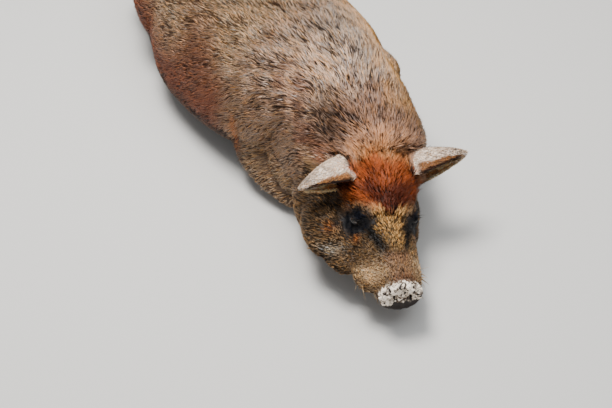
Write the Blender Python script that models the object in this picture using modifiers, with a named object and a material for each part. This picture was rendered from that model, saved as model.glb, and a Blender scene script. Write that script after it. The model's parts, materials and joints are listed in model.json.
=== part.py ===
"""A domestic pig, life size, resting on its breastbone with its legs folded and its jaw on the ground.

Metres, +Z up, floor at z = 0. The nose points to +X and the pig's left is +Y. The flesh is modelled
whole from rounded masses, then parted with thin cuts into head, neck, torso and legs.
"""

import itertools
import math
import random

import bmesh
import bpy
from mathutils import Matrix, Vector
from mathutils.bvhtree import BVHTree

# Driving dimensions
CENTRE_SHIFT = Vector((-0.0013, 0.0334, 0.0))  # brings the middle of the outline over the origin
GAP = 0.0003  # between neighbouring nodes
FLESH_VOXEL = 0.0048
FLESH_TRIANGLES = 3940
FLAT_DEPTH = 0.004  # flesh this near the ground is pressed flat on it
PLANE_SIZE = 3.0  # side of the boxes that cut by a plane

# Head frame: x to the snout, z to the crown, origin inside the skull behind the ears
HEAD_ORIGIN = Vector((0.418, -0.052, 0.136))
HEAD_YAW = math.radians(-17.5)
HEAD_PITCH = math.radians(7)
HEAD_ROLL = math.radians(-15)

# Torso: x, half width, top, height of the widest line, bottom
TORSO = [
    (-0.640, 0.020, 0.270, 0.235, 0.200),
    (-0.620, 0.080, 0.325, 0.225, 0.110),
    (-0.570, 0.115, 0.358, 0.210, 0.050),
    (-0.480, 0.152, 0.385, 0.190, 0.010),
    (-0.360, 0.182, 0.395, 0.165, -0.012),
    (-0.220, 0.224, 0.397, 0.138, -0.015),
    (-0.080, 0.232, 0.397, 0.136, -0.012),
    (0.040, 0.219, 0.401, 0.150, 0.008),
    (0.140, 0.194, 0.405, 0.175, 0.026),
    (0.240, 0.161, 0.384, 0.190, 0.035),
    (0.320, 0.142, 0.338, 0.190, 0.050),
    (0.380, 0.085, 0.280, 0.180, 0.100),
]
# The pig is modelled straight, then its spine bends to its right: x, side shift
BEND = [
    (-0.70, -0.022),
    (-0.46, -0.028),
    (-0.36, -0.044),
    (-0.24, -0.046),
    (-0.08, -0.032),
    (0.04, -0.028),
    (0.14, -0.022),
    (0.26, -0.006),
    (0.32, 0.0),
]
LEAN = 0.12  # sideways lean of the body to its left, per metre above its widest line
LEAN_HEIGHT = 0.15
TORSO_PEAK = 1.14  # above 1 narrows the back towards its ridge
TORSO_BELLY = 0.85  # below 1 squares the belly

# Neck: centre, half width, rise, drop
NECK = [
    ((0.150, -0.004, 0.220), 0.140, 0.158, 0.160),
    ((0.270, -0.018, 0.188), 0.168, 0.158, 0.155),
    ((0.345, -0.031, 0.162), 0.164, 0.144, 0.142),
    ((0.400, -0.048, 0.143), 0.142, 0.120, 0.132),
    ((0.440, -0.048, 0.134), 0.118, 0.086, 0.108),
]

# Skull and upper snout, in the head frame: x, half width, top, widest line, bottom
SKULL = [
    (-0.060, 0.095, 0.092, 0.000, -0.090),
    (-0.010, 0.110, 0.116, -0.010, -0.112),
    (0.040, 0.112, 0.116, -0.026, -0.116),
    (0.085, 0.103, 0.096, -0.034, -0.106),
    (0.125, 0.091, 0.070, -0.030, -0.088),
    (0.165, 0.080, 0.052, -0.022, -0.066),
    (0.205, 0.072, 0.043, -0.014, -0.050),
    (0.245, 0.065, 0.038, -0.010, -0.042),
    (0.275, 0.055, 0.036, -0.005, -0.036),
    (0.290, 0.049, 0.038, -0.002, -0.035),
    (0.300, 0.050, 0.040, 0.000, -0.036),
    (0.308, 0.045, 0.036, 0.000, -0.033),
]
# Lower jaw, in the head frame, on the same terms
JAW = [
    (0.020, 0.085, -0.030, -0.070, -0.116),
    (0.080, 0.080, -0.030, -0.066, -0.113),
    (0.150, 0.062, -0.032, -0.060, -0.096),
    (0.210, 0.052, -0.034, -0.054, -0.078),
    (0.248, 0.041, -0.033, -0.048, -0.066),
    (0.266, 0.023, -0.035, -0.044, -0.057),
]
# Rounded masses on the head, in the head frame, made on both sides: centre, radii and how far both lie
# towards the left
HEAD_MASSES = [
    ((0.005, 0.090, -0.058), (0.100, 0.064, 0.060), -0.008),  # jowl
    ((0.085, 0.086, -0.034), (0.080, 0.055, 0.052), -0.029),  # cheek muscle
    ((0.135, 0.060, -0.040), (0.075, 0.052, 0.036), -0.024),  # cheek before the mouth's corner
    ((0.098, 0.053, 0.042), (0.044, 0.026, 0.024), 0.0),  # brow
    ((0.222, 0.049, -0.020), (0.052, 0.029, 0.026), -0.007),  # upper lip
    ((0.000, 0.074, 0.066), (0.040, 0.032, 0.036), 0.003),  # ear base
]
# Rounded masses on the body: centre, radii and pitch in degrees, made on both sides
BODY_MASSES = [
    ((0.140, 0.108, 0.196), (0.128, 0.072, 0.122), -18),  # shoulder
    ((0.268, 0.140, 0.118), (0.090, 0.050, 0.062), 20),  # fold between neck and foreleg
    ((-0.500, 0.098, 0.185), (0.120, 0.078, 0.145), 14),  # ham
    ((-0.400, 0.128, 0.190), (0.140, 0.074, 0.110), 24),  # thigh
    ((-0.585, 0.048, 0.225), (0.044, 0.050, 0.095), 0),  # seat
]
# Limb tubes on the pig's left: x, y, z, radius
UPPER_ARM = [
    (0.195, 0.105, 0.260, 0.070),
    (0.145, 0.132, 0.175, 0.064),
    (0.104, 0.146, 0.105, 0.050),
]
FOREARM = [
    (0.101, 0.147, 0.092, 0.046),
    (0.155, 0.158, 0.078, 0.045),
    (0.215, 0.157, 0.060, 0.038),
    (0.264, 0.153, 0.044, 0.034),
]
FORE_CANNON = [
    (0.268, 0.147, 0.034, 0.031),
    (0.225, 0.128, 0.023, 0.025),
    (0.175, 0.112, 0.022, 0.024),
    (0.150, 0.109, 0.025, 0.027),
    (0.124, 0.107, 0.024, 0.023),
    (0.106, 0.106, 0.023, 0.021),
]
GASKIN = [
    (-0.285, 0.178, 0.115, 0.056),
    (-0.350, 0.178, 0.108, 0.055),
    (-0.430, 0.180, 0.090, 0.044),
    (-0.490, 0.186, 0.060, 0.035),
    (-0.520, 0.190, 0.042, 0.032),
]
HIND_CANNON = [
    (-0.522, 0.194, 0.032, 0.030),
    (-0.465, 0.208, 0.025, 0.026),
    (-0.410, 0.217, 0.023, 0.025),
    (-0.382, 0.220, 0.026, 0.028),
    (-0.356, 0.222, 0.024, 0.024),
    (-0.338, 0.223, 0.023, 0.022),
]
# The right hind leg is drawn in under the belly
GASKIN_TUCKED = [
    (-0.285, 0.128, 0.110, 0.056),
    (-0.350, 0.126, 0.100, 0.054),
    (-0.430, 0.110, 0.080, 0.043),
    (-0.490, 0.084, 0.055, 0.035),
    (-0.520, 0.072, 0.042, 0.032),
]
HIND_CANNON_TUCKED = [
    (-0.522, 0.072, 0.032, 0.030),
    (-0.465, 0.086, 0.025, 0.026),
    (-0.410, 0.098, 0.023, 0.025),
    (-0.382, 0.104, 0.026, 0.028),
    (-0.356, 0.108, 0.024, 0.024),
    (-0.338, 0.111, 0.023, 0.022),
]
TAIL = [
    (-0.625, 0.000, 0.290, 0.017),
    (-0.655, 0.004, 0.262, 0.0125),
    (-0.664, 0.010, 0.226, 0.0100),
    (-0.660, 0.004, 0.190, 0.0085),
    (-0.664, -0.012, 0.162, 0.0075),
    (-0.674, -0.018, 0.140, 0.0065),
    (-0.684, -0.008, 0.124, 0.0055),
    (-0.682, 0.006, 0.112, 0.0045),
]

# Bristles of the coat, in flat tapered locks that overlap backwards like tiles
LOCK_LENGTH = 0.130
LOCK_WIDTH = 0.069
LOCK_THICKNESS = 0.0050
LOCK_SINK = 0.007  # depth of its root
ROW_STEP = 0.083
SIDE_STEP = 1.12  # spacing in a row, in widths of a lock
# Stations of a lock: share of the length, of the width and of the thickness
LOCK_STATIONS = [(0.0, 0.36, 0.8), (0.26, 1.0, 1.0), (0.64, 0.80, 0.8), (1.0, 0.0, 0.0)]
# Rows over the body: x, reach down each side in degrees from the ridge, share of the full lock, rise
COAT = [
    (-0.60, 50, 0.72, 0.09),
    (-0.50, 74, 0.90, 0.09),
    (-0.30, 84, 1.00, 0.09),
    (0.00, 84, 1.00, 0.09),
    (0.18, 82, 0.92, 0.10),
    (0.30, 78, 0.66, 0.11),
    (0.41, 62, 0.52, 0.12),
]
COAT_AXIS = [(-0.60, 0.22), (-0.40, 0.17), (0.10, 0.17), (0.30, 0.18), (0.40, 0.14)]  # x, height
RIDGE_RISE = 0.05  # more rise per length on the ridge of the back
# Red tuft on the crown, in the head frame: x, half breadth, share of the full lock
TUFT = [
    (0.112, 0.000, 0.34),
    (0.094, 0.013, 0.36),
    (0.074, 0.027, 0.38),
    (0.052, 0.038, 0.40),
    (0.030, 0.045, 0.42),
    (0.006, 0.048, 0.44),
    (-0.018, 0.058, 0.46),
]
TUFT_RISE = 0.16
# Switch of the tail: share of the tail's path, length of a lock, splay from the tail
SWITCH = [(0.58, 0.042, 0.18), (0.78, 0.048, 0.20), (0.97, 0.052, 0.16)]
SWITCH_ROUND = 3  # locks in each ring of the switch
SWITCH_WIDTH = 0.010
SWITCH_THICKNESS = 0.003
LOCK_CLEARANCE = 0.0007  # least distance from a lock to the next node
LIFT_TRIES = (1.0, 1.2, 1.45, 1.75, 2.1)  # more rise, as shares
SHIFT_TRIES = (0.0, 0.014, -0.014, 0.026)  # moves of the root along its lie

# Cuts
NECK_CUT = (Vector((0.272, 0.0, 0.20)), Vector((1.0, -0.05, -0.30)))
HEAD_CUT = (Vector((-0.035, 0.0, 0.0)), Vector((1.0, 0.0, 0.10)))  # in the head frame

# Outlines of the leg nodes in the side view, and how deep they reach towards the midline
FORE_OUTLINE = [
    (0.045, -0.02), (0.030, 0.080), (0.060, 0.150), (0.120, 0.205),
    (0.200, 0.215), (0.262, 0.170), (0.305, 0.090), (0.312, -0.02),
]
FORE_INNER = 0.070
THIGH_OUTLINE = [
    (-0.585, -0.02), (-0.600, 0.090), (-0.570, 0.165), (-0.480, 0.210), (-0.350, 0.205),
    (-0.245, 0.140), (-0.232, 0.060), (-0.330, 0.052), (-0.430, 0.050), (-0.480, -0.02),
]
THIGH_INNER = 0.095
FOOT_OUTLINE = [(-0.600, -0.05), (-0.600, 0.120), (-0.250, 0.120), (-0.250, -0.05)]
FOOT_INNER = 0.180
TUCKED_OUTLINE = [(-0.585, -0.05), (-0.585, 0.056), (-0.262, 0.056), (-0.262, -0.05)]
TUCKED_INNER = 0.066
OUTER = 0.400

# Ears, in the head frame: root, tip, the way the hollow faces and how far its mouth gapes
EARS = {
    "ear_left": ((0.006, 0.066, 0.074), (-0.005, 0.206, 0.123), (0.93, 0.05, -0.20), 1.45),
    "ear_right": ((0.006, -0.066, 0.074), (0.044, -0.190, 0.056), (0.93, 0.05, -0.24), 1.20),
}
# Ear rows from root to tip: share of the length, depth, half height and thickness
EAR_ROWS = [
    (0.00, 0.068, 0.0200, 0.0060),
    (0.20, 0.070, 0.0200, 0.0056),
    (0.40, 0.063, 0.0190, 0.0050),
    (0.60, 0.050, 0.0170, 0.0044),
    (0.80, 0.032, 0.0130, 0.0038),
    (0.93, 0.017, 0.0085, 0.0032),
    (1.00, 0.007, 0.0040, 0.0024),
]
EAR_CURL = 100  # degrees to each rim from the middle of the back
EAR_ARCH = 0.010  # rise of the ear's middle over the line from root to tip
# Claw: share of its length, of its half width and of its height over the sole
CLAW_ROWS = [
    (-0.25, 0.80, 0.72),
    (0.10, 1.00, 0.80),
    (0.65, 0.90, 0.42),
    (0.92, 0.55, 0.10),
    (1.00, 0.22, -0.12),
]
CLAW_SIZE = (0.046, 0.0105, 0.036)  # length, half width, height
CLAW_SPREAD = 0.0118  # from the middle of the foot
CLAW_SPLAY = 0.10
DEW_SIZE = (0.020, 0.0060, 0.013)
DEW_PLACE = (-0.036, 0.020, -0.0085)  # along the foot, sideways, over it
EYE_RADIUS = 0.0125
EYE_PLACE = (0.119, 0.034)  # x and z in the head frame
MOUTH_LINE = [  # x, z
    (0.135, -0.052),
    (0.165, -0.043),
    (0.200, -0.036),
    (0.235, -0.036),
    (0.262, -0.040),
]
MOUTH_GROOVE = 0.0026
NOSTRIL_PLACE = (0.306, 0.0175, 0.004)
NOSTRIL_RADII = (0.020, 0.0065, 0.0095)
LID_REACH = (0.0125, 0.0088)  # half width and half height of the ring of lids
LID_THICKNESS = 0.0036
LID_SINK = 0.001


def head_matrix():
    turn = Matrix.Rotation(HEAD_YAW, 4, "Z") @ Matrix.Rotation(HEAD_PITCH, 4, "Y")
    return Matrix.Translation(HEAD_ORIGIN) @ turn @ Matrix.Rotation(HEAD_ROLL, 4, "X")


def eased_value(a, b, c, d, t):
    """A smooth curve through b and c at t from 0 to 1, with a before and d after them."""
    return b + 0.5 * t * (c - a + t * (2 * a - 5 * b + 4 * c - d + t * (3 * (b - c) + d - a)))


def eased_rows(rows, steps):
    """Rows of numbers, with `steps` smooth rows for each gap between two of them."""
    eased = []
    for index in range(len(rows) - 1):
        before = rows[max(index - 1, 0)]
        start, end = rows[index], rows[index + 1]
        after = rows[min(index + 2, len(rows) - 1)]
        for step in range(steps):
            t = step / steps
            eased.append([eased_value(*four, t) for four in zip(before, start, end, after)])
    eased.append(list(rows[-1]))
    return eased


def link(mesh, name, collection):
    obj = bpy.data.objects.new(name, mesh)
    collection.objects.link(obj)
    return obj


def object_from(bm, name, collection):
    bmesh.ops.recalc_face_normals(bm, faces=bm.faces)
    mesh = bpy.data.meshes.new(name)
    bm.to_mesh(mesh)
    bm.free()
    return link(mesh, name, collection)


def skin_rings(bm, rings):
    """Joins closed rings of points into one capped tube."""
    loops = [[bm.verts.new(point) for point in ring] for ring in rings]
    count = len(loops[0])
    for here, there in zip(loops, loops[1:]):
        for k in range(count):
            m = (k + 1) % count
            bm.faces.new((here[k], here[m], there[m], there[k]))
    bm.faces.new(reversed(loops[0]))
    bm.faces.new(loops[-1])


def section(centre, side, up, half_width, rise, drop, peak=1.0, belly=1.0, count=40):
    """One closed cross-section. Peak and belly bend an ellipse's upper and lower halves."""
    ring = []
    for k in range(count):
        angle = 2 * math.pi * k / count
        across, height = math.cos(angle), math.sin(angle)
        power = peak if height > 0 else belly
        y = math.copysign(abs(across) ** power, across) * half_width
        ring.append(centre + side * y + up * (height * (rise if height > 0 else drop)))
    return ring


def trunk(bm, rows, matrix, peak, belly):
    """A body or head form from rows of x, half width, top, widest line and bottom."""
    side, up = Vector((0, 1, 0)), Vector((0, 0, 1))
    rings = []
    for x, half_width, top, widest, bottom in eased_rows(rows, 4):
        centre = Vector((x, 0, widest))
        ring = section(centre, side, up, half_width, top - widest, widest - bottom, peak, belly)
        rings.append([matrix @ point for point in ring])
    skin_rings(bm, rings)


def along(points, index):
    """Direction of a path of points at one of them."""
    return (points[min(index + 1, len(points) - 1)] - points[max(index - 1, 0)]).normalized()


def tube(bm, rows, steps=5, count=24):
    """A limb from rows of x, y, z and radius, with rounded ends."""
    eased = eased_rows(rows, steps)
    centres = [Vector(row[:3]) for row in eased]
    radii = [row[3] for row in eased]
    rings = []
    side = along(centres, 0).cross(Vector((0.2, 0, 1))).normalized()
    for index, (centre, radius) in enumerate(zip(centres, radii)):
        ahead = along(centres, index)
        side = (side - ahead * side.dot(ahead)).normalized()
        up = ahead.cross(side)
        rings.append(section(centre, side, up, radius, radius, radius, count=count))
    start = cap_rings(centres, radii, rings, first=True)
    end = cap_rings(centres, radii, rings, first=False)
    skin_rings(bm, start + rings + end)


def cap_rings(centres, radii, rings, first):
    """Shrinking rings that round off one end of a tube."""
    end = 0 if first else -1
    outward = along(centres, 0 if first else len(centres) - 1) * (-1 if first else 1)
    caps = []
    for angle in (30, 60, 80):
        reach, shrink = math.sin(math.radians(angle)), math.cos(math.radians(angle))
        ring = [
            centres[end] + (point - centres[end]) * shrink + outward * radii[end] * reach
            for point in rings[end]
        ]
        caps.append(ring)
    return caps[::-1] if first else caps


def ball(bm, centre, radii, matrix, segments=28, rings=18):
    """An ellipsoid."""
    size = Matrix.Diagonal((*radii, 1))
    place = matrix @ Matrix.Translation(centre) @ size
    bmesh.ops.create_uvsphere(bm, u_segments=segments, v_segments=rings, radius=1, matrix=place)


def right_side(rows):
    """A limb's rows, moved to the right side."""
    return [(x, -y, z, radius) for x, y, z, radius in rows]


def flesh_masses(bm):
    head = head_matrix()
    trunk(bm, TORSO, Matrix(), TORSO_PEAK, TORSO_BELLY)
    neck_rows = eased_rows([(*centre, *sizes) for centre, *sizes in NECK], 5)
    centres = [Vector(row[:3]) for row in neck_rows]
    rings = []
    for index, (centre, row) in enumerate(zip(centres, neck_rows)):
        ahead = along(centres, index)
        side = Vector((0, 0, 1)).cross(ahead).normalized()
        rings.append(section(centre, side, ahead.cross(side), *row[3:], peak=1.12))
    skin_rings(bm, rings)
    trunk(bm, SKULL, head, 1.12, 1.0)
    trunk(bm, JAW, head, 1.0, 1.0)
    for sign in (1, -1):
        for (x, y, z), radii, shift in HEAD_MASSES:
            ball(bm, (x, sign * y + shift, z), radii, head)
        for (x, y, z), radii, pitch in BODY_MASSES:
            lean = Matrix.Rotation(math.radians(pitch), 4, "Y")
            ball(bm, (0, 0, 0), radii, Matrix.Translation((x, sign * y, z)) @ lean)
    for rows in (UPPER_ARM, FOREARM, FORE_CANNON):
        tube(bm, rows)
        tube(bm, right_side(rows))
    for rows in (GASKIN, HIND_CANNON, right_side(GASKIN_TUCKED), right_side(HIND_CANNON_TUCKED)):
        tube(bm, rows)


def read_row(pairs, x):
    """The value at x on a line through pairs in rising or falling order of x."""
    pairs = sorted(pairs)
    if x <= pairs[0][0]:
        return pairs[0][1]
    for (x0, low), (x1, high) in zip(pairs, pairs[1:]):
        if x <= x1:
            t = (x - x0) / (x1 - x0)
            return low + (high - low) * t
    return pairs[-1][1]


def posed(point):
    """A point of the straight pig, moved by the bend and lean of the body."""
    steps = (-0.06, -0.03, 0.0, 0.03, 0.06)
    smooth_bend = sum(read_row(BEND, point.x + step) for step in steps) / len(steps)
    hold = min(max((0.34 - point.x) / 0.14, 0.0), 1.0)
    lean = LEAN * (point.z - LEAN_HEIGHT) * hold * hold * (3 - 2 * hold)
    return Vector((point.x, point.y + smooth_bend + lean, point.z))


def posed_object(obj):
    for vertex in obj.data.vertices:
        vertex.co = posed(vertex.co)
    return obj


def apply_modifiers(obj):
    """Replaces the object's mesh with what its modifiers make of it."""
    graph = bpy.context.evaluated_depsgraph_get()
    graph.update()
    made = bpy.data.meshes.new_from_object(obj.evaluated_get(graph))
    obj.modifiers.clear()
    obj.data = made


def whole_flesh(workshop):
    """All masses fused, smoothed, pressed flat on the ground and thinned."""
    bm = bmesh.new()
    flesh_masses(bm)
    flesh = object_from(bm, "flesh", workshop)
    remesh = flesh.modifiers.new("fuse", "REMESH")
    remesh.mode = "VOXEL"
    remesh.voxel_size = FLESH_VOXEL
    apply_modifiers(flesh)
    body = flesh.vertex_groups.new(name="body")
    back = head_matrix().inverted()
    for vertex in flesh.data.vertices:
        ahead = (back @ vertex.co).x
        weight = min(max((0.02 - ahead) / 0.08, 0.0), 1.0)
        if vertex.co.z < 0.06:
            weight *= 0.3
        body.add([vertex.index], weight, "REPLACE")
    for group, rounds in (("", 7), ("body", 14)):
        smooth = flesh.modifiers.new("smooth", "SMOOTH")
        smooth.factor = 0.5
        smooth.iterations = rounds
        smooth.vertex_group = group
        apply_modifiers(flesh)
    for vertex in flesh.data.vertices:
        if vertex.co.z < FLAT_DEPTH:
            vertex.co.z = 0.0
    thin = flesh.modifiers.new("thin", "DECIMATE")
    thin.ratio = FLESH_TRIANGLES / (2 * len(flesh.data.polygons))
    thin.use_collapse_triangulate = True
    apply_modifiers(flesh)
    for vertex in flesh.data.vertices:
        vertex.co.z = max(vertex.co.z, 0.0)
    return posed_object(flesh)


def copy_of(obj, name, collection):
    return link(obj.data.copy(), name, collection)


def grown(obj, distance, collection):
    """A copy whose faces have moved out along their normals."""
    copy = copy_of(obj, obj.name + "_grown", collection)
    bm = bmesh.new()
    bm.from_mesh(copy.data)
    bm.normal_update()
    moves = [vertex.normal * (distance * vertex.calc_shell_factor()) for vertex in bm.verts]
    for vertex, move in zip(bm.verts, moves):
        vertex.co += move
    bm.to_mesh(copy.data)
    bm.free()
    return copy


def boolean(target, tools, operation, solver="MANIFOLD"):
    """Joins, cuts or keeps the overlap of the target with the tools, which are then removed."""
    set_of_tools = bpy.data.collections.new("tools")
    bpy.context.scene.collection.children.link(set_of_tools)
    for tool in tools:
        for holder in list(tool.users_collection):
            holder.objects.unlink(tool)
        set_of_tools.objects.link(tool)
    modifier = target.modifiers.new("boolean", "BOOLEAN")
    modifier.operation = operation
    modifier.solver = solver
    modifier.operand_type = "COLLECTION"
    modifier.collection = set_of_tools
    apply_modifiers(target)
    for tool in list(set_of_tools.objects):
        bpy.data.objects.remove(tool)
    bpy.data.collections.remove(set_of_tools)
    keep_largest(target)


def keep_largest(obj):
    """Leaves only the closed surface with the most volume."""
    bm = bmesh.new()
    bm.from_mesh(obj.data)
    unseen = set(bm.faces)
    pieces = []
    while unseen:
        seed = unseen.pop()
        piece, edge_of_search = [seed], [seed]
        while edge_of_search:
            face = edge_of_search.pop()
            for edge in face.edges:
                for other in edge.link_faces:
                    if other in unseen:
                        unseen.remove(other)
                        piece.append(other)
                        edge_of_search.append(other)
        pieces.append(piece)

    def volume(piece):
        total = 0.0
        for face in piece:
            a, *rest = [vertex.co for vertex in face.verts]
            total += sum(a.dot(b.cross(c)) for b, c in zip(rest, rest[1:]))
        return abs(total)

    pieces.sort(key=volume)
    spare = [face for piece in pieces[:-1] for face in piece]
    bmesh.ops.delete(bm, geom=spare, context="FACES")
    bm.to_mesh(obj.data)
    bm.free()


def half_space(point, normal, offset, name, collection):
    """A large box that fills the side of a plane that its normal points to, from offset on."""
    bm = bmesh.new()
    turn = Vector(normal).normalized().to_track_quat("Z", "Y").to_matrix().to_4x4()
    lift = Matrix.Translation((0, 0, PLANE_SIZE / 2 + offset))
    place = Matrix.Translation(point) @ turn @ lift
    bmesh.ops.create_cube(bm, size=PLANE_SIZE, matrix=place)
    return object_from(bm, name, collection)


def side_prism(outline, inner, outer, sign, grow, name, collection):
    """The space inside an outline in the side view, from y inner to y outer, posed with the body."""
    middle = sum((Vector(point) for point in outline), Vector((0, 0))) / len(outline)
    bm = bmesh.new()
    loops, hubs = [], []
    for y in (inner - grow, outer):
        ring = []
        for point in outline:
            place = Vector(point)
            place += (place - middle).normalized() * grow * 1.5
            ring.append(bm.verts.new((place.x, sign * y, place.y)))
        loops.append(ring)
        hubs.append(bm.verts.new((middle.x, sign * y, middle.y)))
    count = len(outline)
    for k in range(count):
        m = (k + 1) % count
        bm.faces.new((loops[0][k], loops[0][m], loops[1][m]))
        bm.faces.new((loops[0][k], loops[1][m], loops[1][k]))
        bm.faces.new((loops[0][m], loops[0][k], hubs[0]))
        bm.faces.new((loops[1][k], loops[1][m], hubs[1]))
    return posed_object(object_from(bm, name, collection))


def rounded_outline(points, steps=3):
    """A closed smooth outline through a few points."""
    count = len(points)
    eased = []
    for index in range(count):
        four = [Vector(points[(index + k - 1) % count]) for k in range(4)]
        for step in range(steps):
            eased.append(eased_value(*four, step / steps))
    return eased


def leg_region(kind, sign, grow, workshop):
    """The space that holds one leg."""
    if kind == "fore":
        outline = rounded_outline(FORE_OUTLINE)
        return side_prism(outline, FORE_INNER, OUTER, sign, grow, "region", workshop)
    outline = rounded_outline(THIGH_OUTLINE)
    region = side_prism(outline, THIGH_INNER, OUTER, sign, grow, "region", workshop)
    foot_outline = FOOT_OUTLINE if sign > 0 else TUCKED_OUTLINE
    foot_inner = FOOT_INNER if sign > 0 else TUCKED_INNER
    foot = side_prism(foot_outline, foot_inner, OUTER + 0.01, sign, grow, "foot_region", workshop)
    boolean(region, [foot], "UNION", "EXACT")
    return region


def claw_mesh(bm, root, ahead, dorsal, size, corners):
    """One hoof claw: a wedge with a flat sole, blunt at the coronet and rounded at the toe."""
    length, half_width, height = size
    side = ahead.cross(dorsal)
    rings = []
    for reach, width, top in CLAW_ROWS:
        centre = root + ahead * (length * reach)
        ring = []
        for k in range(corners):
            angle = 2 * math.pi * k / corners
            across = math.cos(angle) * half_width * width
            up = math.sin(angle)
            lift = up * (height * (top + 0.5) * 0.5 if up > 0 else height * 0.5)
            lift = max(lift, -height * 0.42)
            ring.append(centre + side * across + dorsal * lift)
        rings.append(ring)
    skin_rings(bm, rings)


def claws(limb, dorsal, name, collection):
    """Two main claws at the end of a foot and two dew claws behind its fetlock."""
    end, before = Vector(limb[-1][:3]), Vector(limb[-2][:3])
    ahead = (end - before).normalized()
    dorsal = (dorsal - ahead * dorsal.dot(ahead)).normalized()
    side = ahead.cross(dorsal)
    made = []
    for index, sign in enumerate((-1, 1)):
        bm = bmesh.new()
        splay = (ahead + side * CLAW_SPLAY * sign).normalized()
        root = end + side * CLAW_SPREAD * sign - dorsal * 0.002
        claw_mesh(bm, root, splay, dorsal, CLAW_SIZE, 8)
        made.append(posed_object(object_from(bm, f"{name}_claw_{index + 1}", collection)))
        bm = bmesh.new()
        back, aside, lifted = DEW_PLACE
        behind = end + ahead * back + side * aside * sign + dorsal * lifted
        outward = (ahead * 0.55 + side * 0.30 * sign - dorsal * 0.35).normalized()
        lift = (dorsal - outward * dorsal.dot(outward)).normalized()
        claw_mesh(bm, behind, outward, lift, DEW_SIZE, 5)
        made.append(posed_object(object_from(bm, f"{name}_dewclaw_{index + 1}", collection)))
    return made


def ear_mesh(bm, root, tip, hollow, gape):
    """A cupped leaf from root to tip, in the head frame."""
    root, tip, hollow = Vector(root), Vector(tip), Vector(hollow).normalized()
    ahead = (tip - root).normalized()
    face = (hollow - ahead * hollow.dot(ahead)).normalized()
    side = ahead.cross(face)
    if side.z < 0:
        side = -side
    across = 8
    rings = []
    for u, depth, half_height, thickness in eased_rows(EAR_ROWS, 2):
        middle = root.lerp(tip, u) + side * (EAR_ARCH * 4 * u * (1 - u))
        half_height *= gape
        depth_radius = depth / (1 - math.cos(math.radians(EAR_CURL)))
        bed = middle + face * (depth_radius - depth / 2)
        outside, inside = [], []
        for j in range(across + 1):
            share = 2 * j / across - 1
            turn = math.radians(EAR_CURL) * share
            half_wall = thickness / 2 * (1 - 0.7 * abs(share) ** 5)
            for row, wall in ((outside, half_wall), (inside, -half_wall)):
                height = side * math.sin(turn) * (half_height + wall)
                row.append(bed + height - face * math.cos(turn) * (depth_radius + wall))
        rings.append(outside + inside[::-1])
    skin_rings(bm, rings)


def build_ear(name, head_node, collection, workshop):
    bm = bmesh.new()
    ear_mesh(bm, *EARS[name])
    for vertex in bm.verts:
        vertex.co = head_matrix() @ vertex.co
    bmesh.ops.triangulate(bm, faces=bm.faces)
    ear = object_from(bm, name, collection)
    boolean(ear, [grown(head_node, GAP * 1.5, workshop)], "DIFFERENCE")
    return ear


def surface_of(obj):
    bm = bmesh.new()
    bm.from_mesh(obj.data)
    tree = BVHTree.FromBMesh(bm)
    bm.free()
    return tree


def head_hit(tree, place, direction):
    """Where a ray, given in the head frame, meets the surface, and the normal there, in the world."""
    head = head_matrix()
    hit, normal, *_ = tree.ray_cast(head @ Vector(place), head.to_3x3() @ Vector(direction))
    return hit, normal


def eye_place(tree, sign):
    """Centre of an eyeball and the direction it looks in."""
    x, z = EYE_PLACE
    hit, _ = head_hit(tree, (x, sign * 0.3, z), (0, -sign, 0))
    look = head_matrix().to_3x3() @ Vector((0.42, sign * 0.86, 0.28)).normalized()
    return hit - look * (EYE_RADIUS * 0.62), look


def lid_ring(centre, look, name, collection):
    """The two lids as one almond ring of flesh round the eyeball."""
    up = head_matrix().to_3x3() @ Vector((0, 0, 1))
    up = (up - look * up.dot(look)).normalized()
    side = up.cross(look)
    bm = bmesh.new()
    rings = []
    steps = 16
    width, height = LID_REACH
    for k in range(steps):
        angle = 2 * math.pi * k / steps
        across, high = math.cos(angle), math.sin(angle)
        spot = side * (width * across) + up * (height * math.copysign(abs(high) ** 1.25, high))
        depth = math.sqrt(max((EYE_RADIUS * 1.06) ** 2 - spot.length_squared, 0.0))
        middle = centre + spot + look * depth
        outward = spot.normalized()
        ring = []
        for m in range(6):
            roll = 2 * math.pi * m / 6
            thick = LID_THICKNESS * (1.2 if high > 0 else 1.0)
            lift = math.sin(roll) * LID_THICKNESS - LID_SINK
            ring.append(middle + outward * math.cos(roll) * thick + look * lift)
        rings.append(ring)
    loops = [[bm.verts.new(point) for point in ring] for ring in rings]
    for here, there in zip(loops, loops[1:] + loops[:1]):
        for k in range(6):
            m = (k + 1) % 6
            bm.faces.new((here[k], here[m], there[m], there[k]))
    bmesh.ops.triangulate(bm, faces=bm.faces)
    return object_from(bm, name, collection)


def mouth_cutter(tree, collection):
    """A thin tube along the line of the lips, from one corner of the mouth round to the other."""
    points = []
    for sign, order in ((1, MOUTH_LINE), (-1, MOUTH_LINE[::-1])):
        for x, z in order:
            hit, _ = head_hit(tree, (x, sign * 0.3, z), (0, -sign, 0))
            if hit is not None:
                points.append(hit)
    bm = bmesh.new()
    tube(bm, [(*point, MOUTH_GROOVE) for point in points], steps=3, count=6)
    bmesh.ops.triangulate(bm, faces=bm.faces)
    return object_from(bm, "mouth_line", collection)


def nostril_cutters(collection):
    made = []
    x, y, z = NOSTRIL_PLACE
    for sign in (1, -1):
        bm = bmesh.new()
        lean = Matrix.Rotation(math.radians(-12 * sign), 4, "X")
        place = head_matrix() @ Matrix.Translation((x, sign * y, z)) @ lean
        ball(bm, (0, 0, 0), NOSTRIL_RADII, place, segments=12, rings=8)
        bmesh.ops.triangulate(bm, faces=bm.faces)
        made.append(object_from(bm, "nostril", collection))
    return made


def build_eye(centre, name, collection):
    bm = bmesh.new()
    bmesh.ops.create_uvsphere(bm, u_segments=14, v_segments=8, radius=EYE_RADIUS)
    eye = object_from(bm, name, collection)
    for vertex in eye.data.vertices:
        vertex.co += centre
    return eye


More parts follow.
